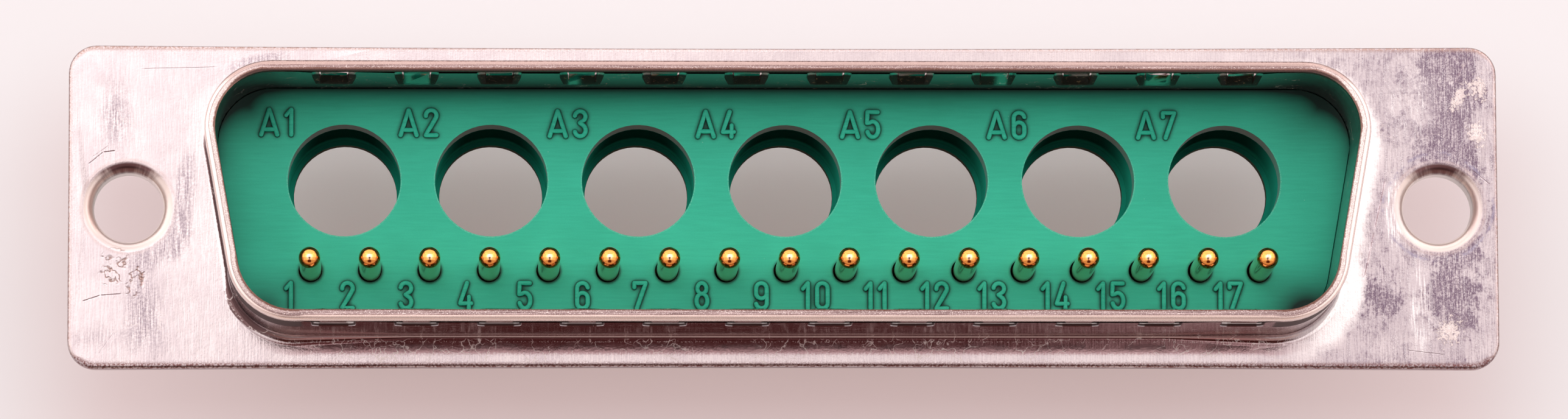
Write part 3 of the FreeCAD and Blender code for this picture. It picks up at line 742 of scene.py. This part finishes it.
SHEET = 0.5
WALL_INSIDE = 5.535
WALL_OUTSIDE = WALL_INSIDE + SHEET
RIM_START = 5.3
HOLE_PLACE = 30.555
FLANGE_CORNER = (32.05, 6.291)
FLANGE_RADIUS = 1.3
DIMPLE_PITCH = 3.81
DIMPLE_LOW = 2.35
DIMPLE_HIGH = 4.9
DIMPLE_ROW = 23.5
DIMPLE_START = 3.6
DIMPLE_SHARE = 0.7
DIMPLE_DEPTH = 1.12
LOWER_DEPTH = 0.85
FOOT_ROUND = 0.5
FOOT_REACH = 7.05
FOOT_SHARE = 0.3
LONG_SIDE = (17.0, 22.5)
SHORT_SIDE = (2.4, 4.6)
SHORT_SIDE_PLACE = 23.0
SIDE_CUTS = (-21.5, -19.5, -17.5, 17.5, 19.5, 21.5)

steel = Finish("front_plated_steel")
along = steel.axis("X")
up = steel.axis("Y")
high = steel.axis("Z")
facing = abs(steel.upward())

# Distances from the collar's inner outline, from the flange's edge and from its holes.
gap = outline_distance(steel)
past_x = (abs(along) - FLANGE_CORNER[0]).above(0.0)
past_y = (abs(up) - FLANGE_CORNER[1]).above(0.0)
edge = FLANGE_RADIUS - (past_x * past_x + past_y * past_y) ** 0.5
from_hole = abs(along) - HOLE_PLACE
radius = (from_hole * from_hole + up * up) ** 0.5

rim = high.ramp(RIM_START, RIM_START + 0.1)
flange = high.until(0.05, 0.4)
funnel = radius.until(2.0, 2.16) * flange
wall = facing.until(0.1, 0.5) * (1 - rim) * (1 - funnel)
plain = (1 - funnel) * (1 - rim)
right = along.ramp(20.0, 28.5)
wide_side = up.ramp(-1.0, 1.0)
beside_pins = 1 - wide_side
middle = abs(along).until(21.0, 25.0)

grit = steel.noise(0.11, 2, 0.6)
brushed = steel.noise(0.08, 3, 0.65, steel.stretched(1.0, 18.0))
patchy = steel.noise(1.1, 6, 0.68, shift=5.0)
cloud = steel.noise(2.2, 3, 0.55, shift=3.0)
fine = steel.noise(0.05, 2, 0.6, shift=2.0)
flakes = steel.noise(0.2, 6, 0.7, shift=9.0)


def scratch(start, end, half_width, fade=0.8):
    """1 along a straight scratch between two points of the flange."""
    run_x = end[0] - start[0]
    run_y = end[1] - start[1]
    length = math.hypot(run_x, run_y)
    from_x = along - start[0]
    from_y = up - start[1]
    run = (from_x * (run_x / length) + from_y * (run_y / length)) / (length / 2) - 1
    aside = abs(from_y * (run_x / length) - from_x * (run_y / length)) / half_width
    return (1 - aside).clamp() * abs(run).until(fade, 1.0)


# Stains and wear: dull patches with ragged edges, brushed lines in them, and grit.
dull_right = (
    steel.spot(31.1, 6.2, 3.0, 2.2) + steel.spot(31.3, 3.6, 2.2, 3.0) + steel.spot(30.9, 0.0, 3.4, 3.4)
    + steel.spot(31.3, -4.3, 2.2, 3.4) + steel.spot(27.9, -4.3, 2.0, 3.2) * 0.7
    + steel.spot(28.9, 4.2, 1.6, 3.0) * 0.4
)
dull_left = (
    steel.spot(-28.0, 0.3, 0.8, 3.6, -8.0) * 1.3 + steel.spot(-28.9, -1.9, 2.2, 1.0, 32.0) * 0.9
    + steel.spot(-31.2, 4.4, 1.5, 3.6) * 0.8 + steel.spot(-29.8, -4.9, 1.4, 3.8, 8.0)
    + steel.spot(-32.0, -6.2, 2.4, 1.3) * 0.6 + steel.spot(-24.6, 6.8, 2.2, 0.55, 14.0) * 1.3
)
stained = (dull_right * 0.85 + patchy * 1.25 + flakes * 0.75 - 1.28).ramp(0.0, 0.26)
streaked = (dull_left * 1.2 + patchy * 0.9 - 0.68).ramp(0.0, 0.8)
mottled = patchy.ramp(0.47, 0.57) * right
lines = brushed.ramp(0.45, 0.55)
specks = grit.ramp(0.42, 0.58)
blots = flakes.ramp(0.40, 0.55)
dull = stained * (0.04 + blots * 0.26 + lines * 0.36 + specks * 0.30)
dull = dull + mottled * (0.08 + lines * 0.22 + blots * 0.16)
dull = dull + streaked * (lines * 0.35 + specks * 0.25)
dull = (dull + right * (specks * 0.12 + lines * 0.24 - 0.06) + lines * 0.12) * (1 - funnel)

tone = steel.mix(cloud.ramp(0.35, 0.7), (0.66, 0.595, 0.60), (0.59, 0.525, 0.54))
tone = steel.mix(right * (0.35 + cloud.ramp(0.35, 0.65) * 0.4), tone, (0.50, 0.435, 0.46))
tone = steel.mix(dull.clamp(), tone, (0.17, 0.12, 0.165))
# Painted highlights: pale glints, strongest on the right, and pale bands beside the collar's right end.
glints = (fine * 0.4 + brushed * 0.6).ramp(0.535, 0.61) * (right * 0.5 + 0.2) * flange
tone = steel.mix(glints * 0.6, tone, (0.97, 0.93, 0.92))
highlight_band = (
    steel.spot(29.65, -4.6, 0.7, 3.0).ramp(0.0, 0.5)
    + steel.spot(28.5, -0.2, 0.6, 2.2).ramp(0.0, 0.5) * 1.3
    + steel.spot(29.2, 4.8, 1.7, 2.6).ramp(0.0, 0.8) * 0.6
)
tone = steel.mix(highlight_band * brushed.ramp(0.45, 0.58) * 0.7, tone, (0.93, 0.88, 0.87))
round_collar = steel.noise(1.0, 2, 0.6, steel.vector(gap * 9.0, along * 0.4, up * 0.4))
arcs = round_collar.ramp(0.45, 0.62) * steel.spot(28.9, 5.0, 2.4, 2.6).ramp(0.0, 0.5)
tone = steel.mix(arcs * 0.4, tone, (0.36, 0.30, 0.33))

# Cut and rolled edges of the flange: brown, darker along the lower long edge, with specks that reach a
# little inwards.
long_edge = abs(up).ramp(6.9, 7.1)
frayed = (grit - 0.5) * 0.5 - long_edge * (0.16 - wide_side * 0.08)
edge_wear = (edge + frayed).until(0.07, 0.22)
edge_specks = edge.until(0.1, 1.0) * (grit * 0.5 + fine * 0.5).ramp(0.55, 0.64)
edge_darkening = (edge_wear * (0.35 + specks * 0.6) + edge_specks * 0.45).clamp() * flange
edge_tone = steel.mix(long_edge * beside_pins, (0.36, 0.24, 0.21), (0.17, 0.075, 0.07))
tone = steel.mix(edge_darkening, tone, edge_tone)

# Around the holes: a satin funnel with a worn ring. Painted shade makes the funnel's upper part dark
# brown, and a painted highlight makes its bore pale.
lean_up = (up - abs(from_hole) * 0.35) / 2.0
rays = steel.noise(1.0, 3, 0.6, steel.vector(from_hole / radius * 9.0, up / radius * 9.0, radius * 0.8))
shaded_top = (lean_up + (rays - 0.5) * 0.8).ramp(0.30, 0.85) * high.ramp(-0.6, -0.2)
funnel_tone = steel.mix(cloud.ramp(0.4, 0.7), (0.62, 0.52, 0.48), (0.54, 0.46, 0.44))
funnel_tone = steel.mix(radius.ramp(1.70, 1.66), funnel_tone, (0.90, 0.80, 0.75))
funnel_tone = steel.mix(shaded_top, funnel_tone, (0.14, 0.07, 0.07))
tone = steel.mix(funnel, tone, funnel_tone)
ring = (radius - (cloud - 0.5) * 0.5).near(2.55, 0.12) * patchy.ramp(0.46, 0.56) * right * flange
tone = steel.mix(ring * 0.7, tone, (0.30, 0.27, 0.36))
halo = radius.near(2.2, 0.12) * flange * (0.3 + 0.5 * patchy.ramp(0.4, 0.6))
tone = steel.mix(halo, tone, (0.52, 0.42, 0.41))

# The collar's foot: painted shade as a dark line, widest at the lower left, and on the flange below the
# lower wall, and a painted highlight as a pale band on the short sides, strongest on the right.
low_corner = along.until(-26.2, -22.5) * up.until(-5.0, -3.2)
foot_end = (gap - low_corner * 0.28 + (grit - 0.5) * 0.1).ramp(0.60, 0.66)
left_foot_shade = along.until(-25.0, -21.0) * up.until(2.6, 4.6)
left_foot_shade = left_foot_shade * (gap + low_corner * 0.05).ramp(0.51, 0.54) * (1 - foot_end) * (1 - rim)
uneven = (patchy - 0.5) * 0.7 + (flakes - 0.5) * 0.3 - up.until(-5.0, -2.0) * 0.4
foot_highlight = gap.ramp(0.5, 0.62) * (gap + uneven).until(1.05, 1.7)
foot_highlight = foot_highlight * abs(along).ramp(22.5, 26.0) * high.until(0.5, 1.2)
tone = steel.mix(foot_highlight * (0.1 + right * 0.8), tone, (0.97, 0.93, 0.91))
low_foot_shade = gap.near(0.63, 0.16) * up.until(-5.0, -4.0) * middle
tone = steel.mix((left_foot_shade + low_foot_shade).clamp() * 0.9, tone, (0.08, 0.025, 0.025))
low_side = up.until(-5.4, -5.0) * middle
low_flange_shade = low_side * (gap + (grit - 0.5) * 0.3).until(1.24, 1.46) * gap.ramp(0.55, 0.62) * flange
tone = steel.mix(low_flange_shade * 0.8, tone, (0.33, 0.18, 0.19))

# Walls: browner plate with fine drawing lines round the collar. Painted reflection makes the outer wall
# dark maroon along the long sides and pale at the short ends, and the dimples inside dark where they face
# the cavities; a painted highlight makes the upper edge of the pressed recesses pale on the lower side.
drawn = steel.noise(1.0, 3, 0.65, steel.node(
    "ShaderNodeMapping", {}, {"Vector": steel.place, "Scale": (160.0, 160.0, 20000.0)}
))
outside = gap.ramp(0.0, 0.1)
outer_skin = outside * gap.ramp(0.36, 0.40)
at_top = up.ramp(4.6, 5.4)
at_ends = abs(along).ramp(23.8, 25.6)
wall_tone = steel.mix(drawn.ramp(0.35, 0.7), (0.48, 0.40, 0.38), (0.60, 0.52, 0.50))
outer_reflection_tone = steel.mix(drawn.ramp(0.36, 0.68), (0.18, 0.07, 0.075), (0.46, 0.29, 0.30))
outer_reflection_tone = steel.mix(at_ends * up.ramp(-5.6, -1.6) * 0.8, outer_reflection_tone, (0.80, 0.66, 0.63))
wall_tone = steel.mix(outside, wall_tone, outer_reflection_tone)
from_dimple = abs(along.math("WRAP", along, DIMPLE_PITCH, 0.0) - DIMPLE_PITCH / 2)
from_cavity = abs(along.math("WRAP", along, CAVITY_PITCH / 2, -CAVITY_PITCH / 2))
between_cavities = from_cavity.ramp(2.55, 3.0)
pressed = gap.ramp(-0.035, -0.09) * high.ramp(3.3, 3.45) * (1 - rim)
mirrored = steel.mix(between_cavities, (0.045, 0.02, 0.018), (0.36, 0.33, 0.30))
mirrored = steel.mix(from_dimple.ramp(0.6, 1.0), mirrored, (0.045, 0.02, 0.018))
upper_wall = high.ramp(3.3, 3.5) * (1 - rim)
recess_highlight = outside * gap.until(0.36, 0.40) * upper_wall * beside_pins
scuffs = drawn.ramp(0.53, 0.63) * outside * flakes.ramp(0.42, 0.55)
tone = steel.mix(wall, tone, wall_tone)
tone = steel.mix(pressed * wide_side * 0.94, tone, mirrored)
tone = steel.mix(recess_highlight * 0.8, tone, (0.95, 0.85, 0.82))

# Rim: a sheared face with streaks along it and a brown ragged inner edge. Painted highlights make the
# face pale at the short ends, palest at the right end, and the roll peach; painted shade darkens the roll
# and face along the top side.
streaks = steel.noise(1.0, 3, 0.6, steel.vector(gap * 22.0, along * 0.5, up * 0.5))
rim_tone = steel.mix(streaks.ramp(0.38, 0.62), (0.50, 0.38, 0.37), (0.22, 0.145, 0.145))
rim_tone = steel.mix(fine.ramp(0.54, 0.64) * 0.7, rim_tone, (0.95, 0.84, 0.80))
end_highlight = steel.mix(right, (0.72, 0.63, 0.60), (0.96, 0.84, 0.80))
rim_tone = steel.mix(at_ends * (0.45 + fine.ramp(0.4, 0.6) * 0.4), rim_tone, end_highlight)
ragged = gap + (grit - 0.5) * 0.12 + (patchy - 0.5) * 0.06
inner_edge = (ragged - at_top * 0.09).until(0.02, 0.085)
rim_tone = steel.mix(inner_edge * 0.9, rim_tone, (0.15, 0.065, 0.045))
parting = (gap - (cloud - 0.5) * 0.03).near(0.245, 0.025)
rim_tone = steel.mix(parting * 0.75, rim_tone, (0.20, 0.11, 0.10))
roll_highlight_tone = steel.mix(at_top, (0.88, 0.72, 0.67), (0.48, 0.35, 0.32))
rim_tone = steel.mix(gap.ramp(0.26, 0.29), rim_tone, roll_highlight_tone)
rim_tone = steel.mix(gap.ramp(0.40, 0.46) * at_top * specks, rim_tone, (0.16, 0.08, 0.07))
rim_tone = steel.mix(at_top * 0.2, rim_tone, (0.24, 0.15, 0.14))
tone = steel.mix(rim, tone, rim_tone)

# Scratches: bright hair lines that wander, and single dark scores.
swirl = steel.node("ShaderNodeTexNoise", {}, {
    "Vector": steel.stretched(1, 1), "Scale": 1.2, "Detail": 2.0,
}, "Color")
swirl = steel.node("ShaderNodeVectorMath", {"operation": "SCALE"}, {0: swirl, "Scale": 1.6})
wander = steel.node("ShaderNodeVectorMath", {"operation": "ADD"}, {0: steel.stretched(1, 1), 1: swirl})
cells = steel.node(
    "ShaderNodeTexVoronoi", {"feature": "DISTANCE_TO_EDGE"}, {"Vector": wander, "Scale": 0.62}
)
hairs = (1 - cells / 0.02).clamp() * patchy.ramp(0.50, 0.60)
hairs = hairs * plain * (0.35 + 0.65 * (gap - 0.4).until(0.3, 1.0))
foot_specks = gap.near(0.78, 0.07) * (fine * 0.5 + grit * 0.5).ramp(0.52, 0.58) * flange
small_cells = steel.node(
    "ShaderNodeTexVoronoi", {"feature": "DISTANCE_TO_EDGE"}, {"Vector": wander, "Scale": 1.15}
)
twigs = (1 - small_cells / 0.035).clamp() * cloud.ramp(0.44, 0.52) * low_side * flange
twigs = twigs * gap.ramp(0.6, 0.7) * gap.until(1.6, 1.9) * flakes.ramp(0.36, 0.5)
# Painted highlight: a peach band on the rim's roll along the lower side.
low_roll_highlight = low_side * rim * gap.ramp(0.25, 0.29)
pale = (hairs * 0.8 + twigs * 0.9 + foot_specks * 0.8 + scuffs * wall * 0.7).clamp()
tone = steel.mix(pale, tone, (0.92, 0.80, 0.76))
tone = steel.mix(low_roll_highlight * 0.85, tone, (0.86, 0.65, 0.58))
scores = (
    scratch((-32.66, -4.44), (-31.82, -4.16), 0.035) + scratch((-31.82, -4.16), (-30.83, -4.09), 0.035)
    + scratch((-32.42, 1.98), (-31.72, 2.55), 0.04) + scratch((-31.72, 2.55), (-31.15, 2.62), 0.04)
    + scratch((-32.2, 2.35), (-31.5, 2.85), 0.025) + scratch((-30.04, 6.48), (-26.36, 6.57), 0.02) * 0.35
    + scratch((28.96, -6.69), (30.81, -6.91), 0.022) + scratch((28.09, 1.4), (27.53, -1.11), 0.05)
    + scratch((27.53, -1.11), (27.01, -3.4), 0.06) + scratch((31.9, 6.9), (31.4, 5.9), 0.03)
    + scratch((-31.9, -6.9), (-31.2, -5.9), 0.02) + scratch((32.2, 1.75), (33.0, 1.1), 0.03)
)
tone = steel.mix(scores.clamp() * flakes.ramp(0.38, 0.52) * 0.75, tone, (0.20, 0.13, 0.14))

# Two small dents left of the collar, and pale lumps of plating on the right.
crumbs = steel.noise(0.55, 2, 0.5, shift=8.0)
dents = (
    steel.spot(-31.15, -2.5, 0.8, 0.7, 20.0) + steel.spot(-31.35, -3.3, 0.75, 0.45)
    + steel.spot(-30.2, -3.4, 0.5, 1.1, -12.0)
)
dented = dents.ramp(0.05, 0.4) * crumbs.near(0.5, 0.05) * flakes.ramp(0.35, 0.55)
tone = steel.mix(dented * 0.9, tone, (0.25, 0.14, 0.11))
lumps = (
    steel.spot(32.4, 3.5, 0.9, 1.2, 20.0) + steel.spot(31.0, -5.8, 1.2, 1.3, -30.0)
    + steel.spot(31.6, 5.2, 1.6, 0.6, 60.0) + steel.spot(32.6, 5.6, 0.6, 1.2)
)
lumpy = (lumps * 0.35 + flakes - 0.70).ramp(0.0, 0.05) * lumps.ramp(0.02, 0.1)
tone = steel.mix(lumpy * 0.6, tone, (0.86, 0.75, 0.70))

rough = 0.10 + dull.clamp() * 0.12 + funnel * 0.22 + rim * 0.16 + edge_wear * 0.12 * flange
height = (
    grit * (0.0016 + dull.clamp() * 0.003) + brushed * 0.0014 * plain + cloud * 0.012 * plain
    - dented * 0.02 + lumpy * 0.006 - scores * 0.008 + drawn * 0.0012 * wall
    + streaks * 0.004 * rim
)
bumped = steel.bump(height, 1.0, 1.0)
# The pale scratches and the painted highlights are less metallic.
scratches_and_highlights = (pale + low_roll_highlight * 0.6 + recess_highlight).clamp()
metal = steel.shader(Base_Color=tone, Metallic=1 - scratches_and_highlights * 0.85, Roughness=rough, Normal=bumped)

# Painted shade and reflection: a dull near black shader with brown flecks in the dimples, under the rim's
# inner edge along the top side and on the flanks of the pressed recesses.
in_dimple = pressed * wide_side * (1 - between_cavities * from_dimple.until(0.5, 0.72))
under_rim = at_top * rim * (gap + (grit - 0.5) * 0.05).until(0.06, 0.09) * gap.ramp(-0.1, -0.02)
flank = outer_skin * gap.until(0.46, 0.485) * upper_wall * beside_pins
painted_dark_tone = steel.mix(flakes.ramp(0.58, 0.64), (0.010, 0.004, 0.004), (0.20, 0.12, 0.07))
painted_dark_tone = steel.mix((under_rim + flank).clamp(), painted_dark_tone, (0.06, 0.03, 0.028))
painted_dark = steel.shader(Base_Color=painted_dark_tone, Roughness=0.6, Specular_IOR_Level=0.1, Normal=bumped)
painted_dark_share = (in_dimple * 0.9 + under_rim * 0.85 + flank * 0.95).clamp()
front_steel = steel.end_in(steel.node("ShaderNodeMixShader", {}, {0: painted_dark_share, 1: metal, 2: painted_dark}))


def foot_share(place, tight_to, round_from):
    """The share of the foot's bend that is left at a place along its side."""
    eased = (place - tight_to) / (round_from - tight_to)
    return FOOT_SHARE + (1 - FOOT_SHARE) * min(1.0, max(0.0, eased))


front_shell = finished_copy("front_shell", "front_shell_sheet")
sheet = bmesh.new()
sheet.from_mesh(front_shell.data)
for cut_place in SIDE_CUTS:
    bmesh.ops.bisect_plane(
        sheet, geom=sheet.verts[:] + sheet.edges[:] + sheet.faces[:], dist=0.0001 * MM,
        plane_co=(cut_place * MM, 0, 0), plane_no=(1, 0, 0),
    )

for vertex in sheet.verts:
    x, y, z = (value / MM for value in vertex.co)
    side = math.copysign(1.0, y)
    in_foot = -0.001 < z < FOOT_ROUND + 0.01
    # The dimples sit high in the wall and are pressed steeply.
    if DIMPLE_LOW - 0.05 < z < DIMPLE_HIGH and abs(y) > 5.0 and abs(x) < DIMPLE_ROW:
        plane = WALL_OUTSIDE if abs(y) > WALL_INSIDE + 0.1 else WALL_INSIDE
        depth = DIMPLE_DEPTH if y > 0 else LOWER_DEPTH
        z = DIMPLE_START + (z - DIMPLE_LOW) * DIMPLE_SHARE
        y = side * (plane - (plane - abs(y)) * depth)
    # Along the straight sides the foot is bent tightly, and at the corners it is round.
    if in_foot and WALL_OUTSIDE - 0.01 < abs(y) < FOOT_REACH and abs(x) < LONG_SIDE[1]:
        share = foot_share(abs(x), *LONG_SIDE)
        y = side * (WALL_OUTSIDE + (abs(y) - WALL_OUTSIDE) * share)
        z = z * share
    past = outline_gap(x, y) - SHEET
    at_end = abs(x) > SHORT_SIDE_PLACE and abs(y) < SHORT_SIDE[1]
    if in_foot and at_end and -0.01 < past < FOOT_ROUND + 0.01:
        share = foot_share(abs(y), *SHORT_SIDE)
        slope_x, slope_y = outline_slope(x, y)
        x = x - slope_x * past * (1 - share)
        y = y - slope_y * past * (1 - share)
        z = z * share
    vertex.co = (x * MM, y * MM, z * MM)
sheet.to_mesh(front_shell.data)
sheet.free()
applied(front_shell)
coat(front_shell, front_steel)
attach(front_shell, "root")
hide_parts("front_shell")


# Studio: a pale sheet of paper under the plug, which stands on its solder cups. The paper keeps the
# plug's shadow, and glows a little for the lens, so that it is pale. Its glow carries a painted shadow:
# darker and redder near the plug, and weaker under it.

PAPER_HALF = 3.0

paper = Finish("pale_paper")
lit_paper = paper.node("ShaderNodeBsdfDiffuse", {}, {"Color": (0.93, 0.885, 0.90, 1.0)})
paper_x = paper.axis("X")
paper_y = paper.axis("Y")
out_x = (abs(paper_x) - 31.0).above(0.0)
out_y = (abs(paper_y + 3.0) - 5.0).above(0.0)
clear_of_plug = (out_x * out_x + out_y * out_y) ** 0.5
# Painted shadow: the glow is darker and redder near the plug.
shadowed_glow = paper.mix(clear_of_plug.ramp(-1.0, 9.0), (0.85, 0.59, 0.57), (1.0, 0.90, 0.895))
seen_paper = paper.node("ShaderNodeEmission", {}, {"Color": shadowed_glow, "Strength": 1.0})
camera_ray, glossy_ray, clear_ray = [
    paper.node("ShaderNodeLightPath", output=kind)
    for kind in ("Is Camera Ray", "Is Glossy Ray", "Is Transmission Ray")
]
# Painted shadow: less glow under the plug, so that it is darker there.
beneath = abs(paper_x).until(25.5, 28.5) * abs(paper_y - 2.4).until(3.5, 5.5)
seen_rays = (camera_ray + clear_ray + glossy_ray * clear_of_plug.ramp(0.0, 2.0)).clamp()
glow_share = seen_rays * (0.5 - beneath * 0.26)
paper.end_in(paper.node("ShaderNodeMixShader", {}, {0: glow_share, 1: lit_paper, 2: seen_paper}))
paper_mesh = bpy.data.meshes.new("paper")
paper_mesh.from_pydata(
    [(x * PAPER_HALF, y * PAPER_HALF, CUP_END * MM) for x, y in ((-1, -1), (1, -1), (1, 1), (-1, 1))],
    [], [(0, 1, 2, 3)],
)
paper_mesh.materials.append(paper.material)
paper_sheet = bpy.data.objects.new("paper", paper_mesh)
bpy.context.scene.collection.objects.link(paper_sheet)


# World: pale all round, with the dark of the unlit room behind and below the lens. The
# surroundings that show in the metal are brighter than the light that they cast.

room = bpy.data.worlds.new("studio")
bpy.context.scene.world = room
room.use_nodes = True


class Sky(Finish):
    """The world's nodes, added in the same way as a material's."""

    def __init__(self, world):
        self.material = world
        self.tree = world.node_tree
        self.tree.nodes.clear()
        self.place = self.node("ShaderNodeTexCoord", output="Generated")

    def toward(self, direction):
        """The cosine of the angle to a direction."""
        return self.node(
            "ShaderNodeVectorMath", {"operation": "DOT_PRODUCT"}, {0: self.place, 1: direction}, "Value"
        )


sky = Sky(room)
behind_lens = sky.toward((-0.036, -0.136, 0.990)).ramp(0.93, 0.985)
below_lens = sky.toward((0.0, -0.72, 0.70)).ramp(0.93, 0.975)
table_edge = sky.toward((0.0, -1.0, 0.0)).ramp(0.82, 0.92)
seen_room = sky.mix(behind_lens, (0.80, 0.70, 0.69), (0.17, 0.05, 0.045))
seen_room = sky.mix(below_lens, seen_room, (0.10, 0.025, 0.02))
seen_room = sky.mix(table_edge, seen_room, (0.90, 0.70, 0.62))
sky_rays = [
    sky.node("ShaderNodeLightPath", output=kind)
    for kind in ("Is Camera Ray", "Is Glossy Ray", "Is Transmission Ray")
]
seen_directly = (sky_rays[0] + sky_rays[1] + sky_rays[2]).clamp()
surroundings = sky.mix(seen_directly, (0.2, 0.19, 0.19), seen_room)
sky.end_in(sky.node("ShaderNodeBackground", {}, {"Color": surroundings, "Strength": 1.0}), "World")


# Camera: nearly square to the flange, a little below and left of its middle, with a
# long lens, as the photograph was taken.

CAMERA_RIGHT = Vector((0.99936, -0.00390, 0.03566))
CAMERA_UP = Vector((-0.00098, 0.99074, 0.13579))
CAMERA_BACK = Vector((-0.03586, -0.13574, 0.99010))
CAMERA_PLACE = Vector((-15.956, -60.352, 439.448)) * MM
camera_data = bpy.data.cameras.new("camera")
camera_data.sensor_fit = "HORIZONTAL"
camera_data.sensor_width = 36.0
camera_data.lens = 218.616
camera_data.clip_start = 0.01
camera = bpy.data.objects.new("camera", camera_data)
turn = Matrix((CAMERA_RIGHT, CAMERA_UP, CAMERA_BACK)).transposed()
camera.matrix_world = Matrix.LocRotScale(CAMERA_PLACE, turn.to_quaternion(), None)
bpy.context.scene.collection.objects.link(camera)
bpy.context.scene.camera = camera


# Lamps: four soft boxes side by side above the mating axis, brighter at the left and
# right than in the middle, two dimmer ones below it, and a broad one overhead.

BOX_DISTANCE = 0.3


def soft_box(name, left, right, bottom, top, brightness):
    """A lamp that fills those angles left, right, below and above the plug's mating axis."""
    azimuth = math.radians((left + right) / 2)
    height = math.radians((bottom + top) / 2)
    data = bpy.data.lights.new(name, "AREA")
    data.shape = "RECTANGLE"
    data.size = 2 * BOX_DISTANCE * math.tan(math.radians(right - left) / 2)
    data.size_y = 2 * BOX_DISTANCE * math.tan(math.radians(top - bottom) / 2)
    data.energy = brightness * math.pi * data.size * data.size_y
    data.color = (1.0, 0.97, 0.965)
    lamp = bpy.data.objects.new(name, data)
    away = Vector((
        math.sin(azimuth) * math.cos(height), math.sin(height), math.cos(azimuth) * math.cos(height)
    ))
    across = Vector((0, 1, 0)).cross(away).normalized()
    facing = Matrix((across, away.cross(across), away)).transposed()
    lamp.matrix_world = Matrix.Translation(away * BOX_DISTANCE) @ facing.to_4x4()
    lamp.visible_camera = False
    bpy.context.scene.collection.objects.link(lamp)


soft_box("left_upper_box", -75, -3.6, 0, 38, 1.44)
soft_box("left_middle_box", -3.6, 0.5, 0, 38, 1.15)
soft_box("middle_box", 0.5, 24, 0, 38, 0.93)
soft_box("right_upper_box", 24, 75, 0, 38, 1.5)
soft_box("left_lower_box", -65, -9, -30, 0, 0.7)
soft_box("right_lower_box", 7, 65, -30, 0, 0.7)
soft_box("top_box", -45, 45, 44, 88, 1.4)

view = bpy.context.scene.view_settings
view.view_transform = "Standard"
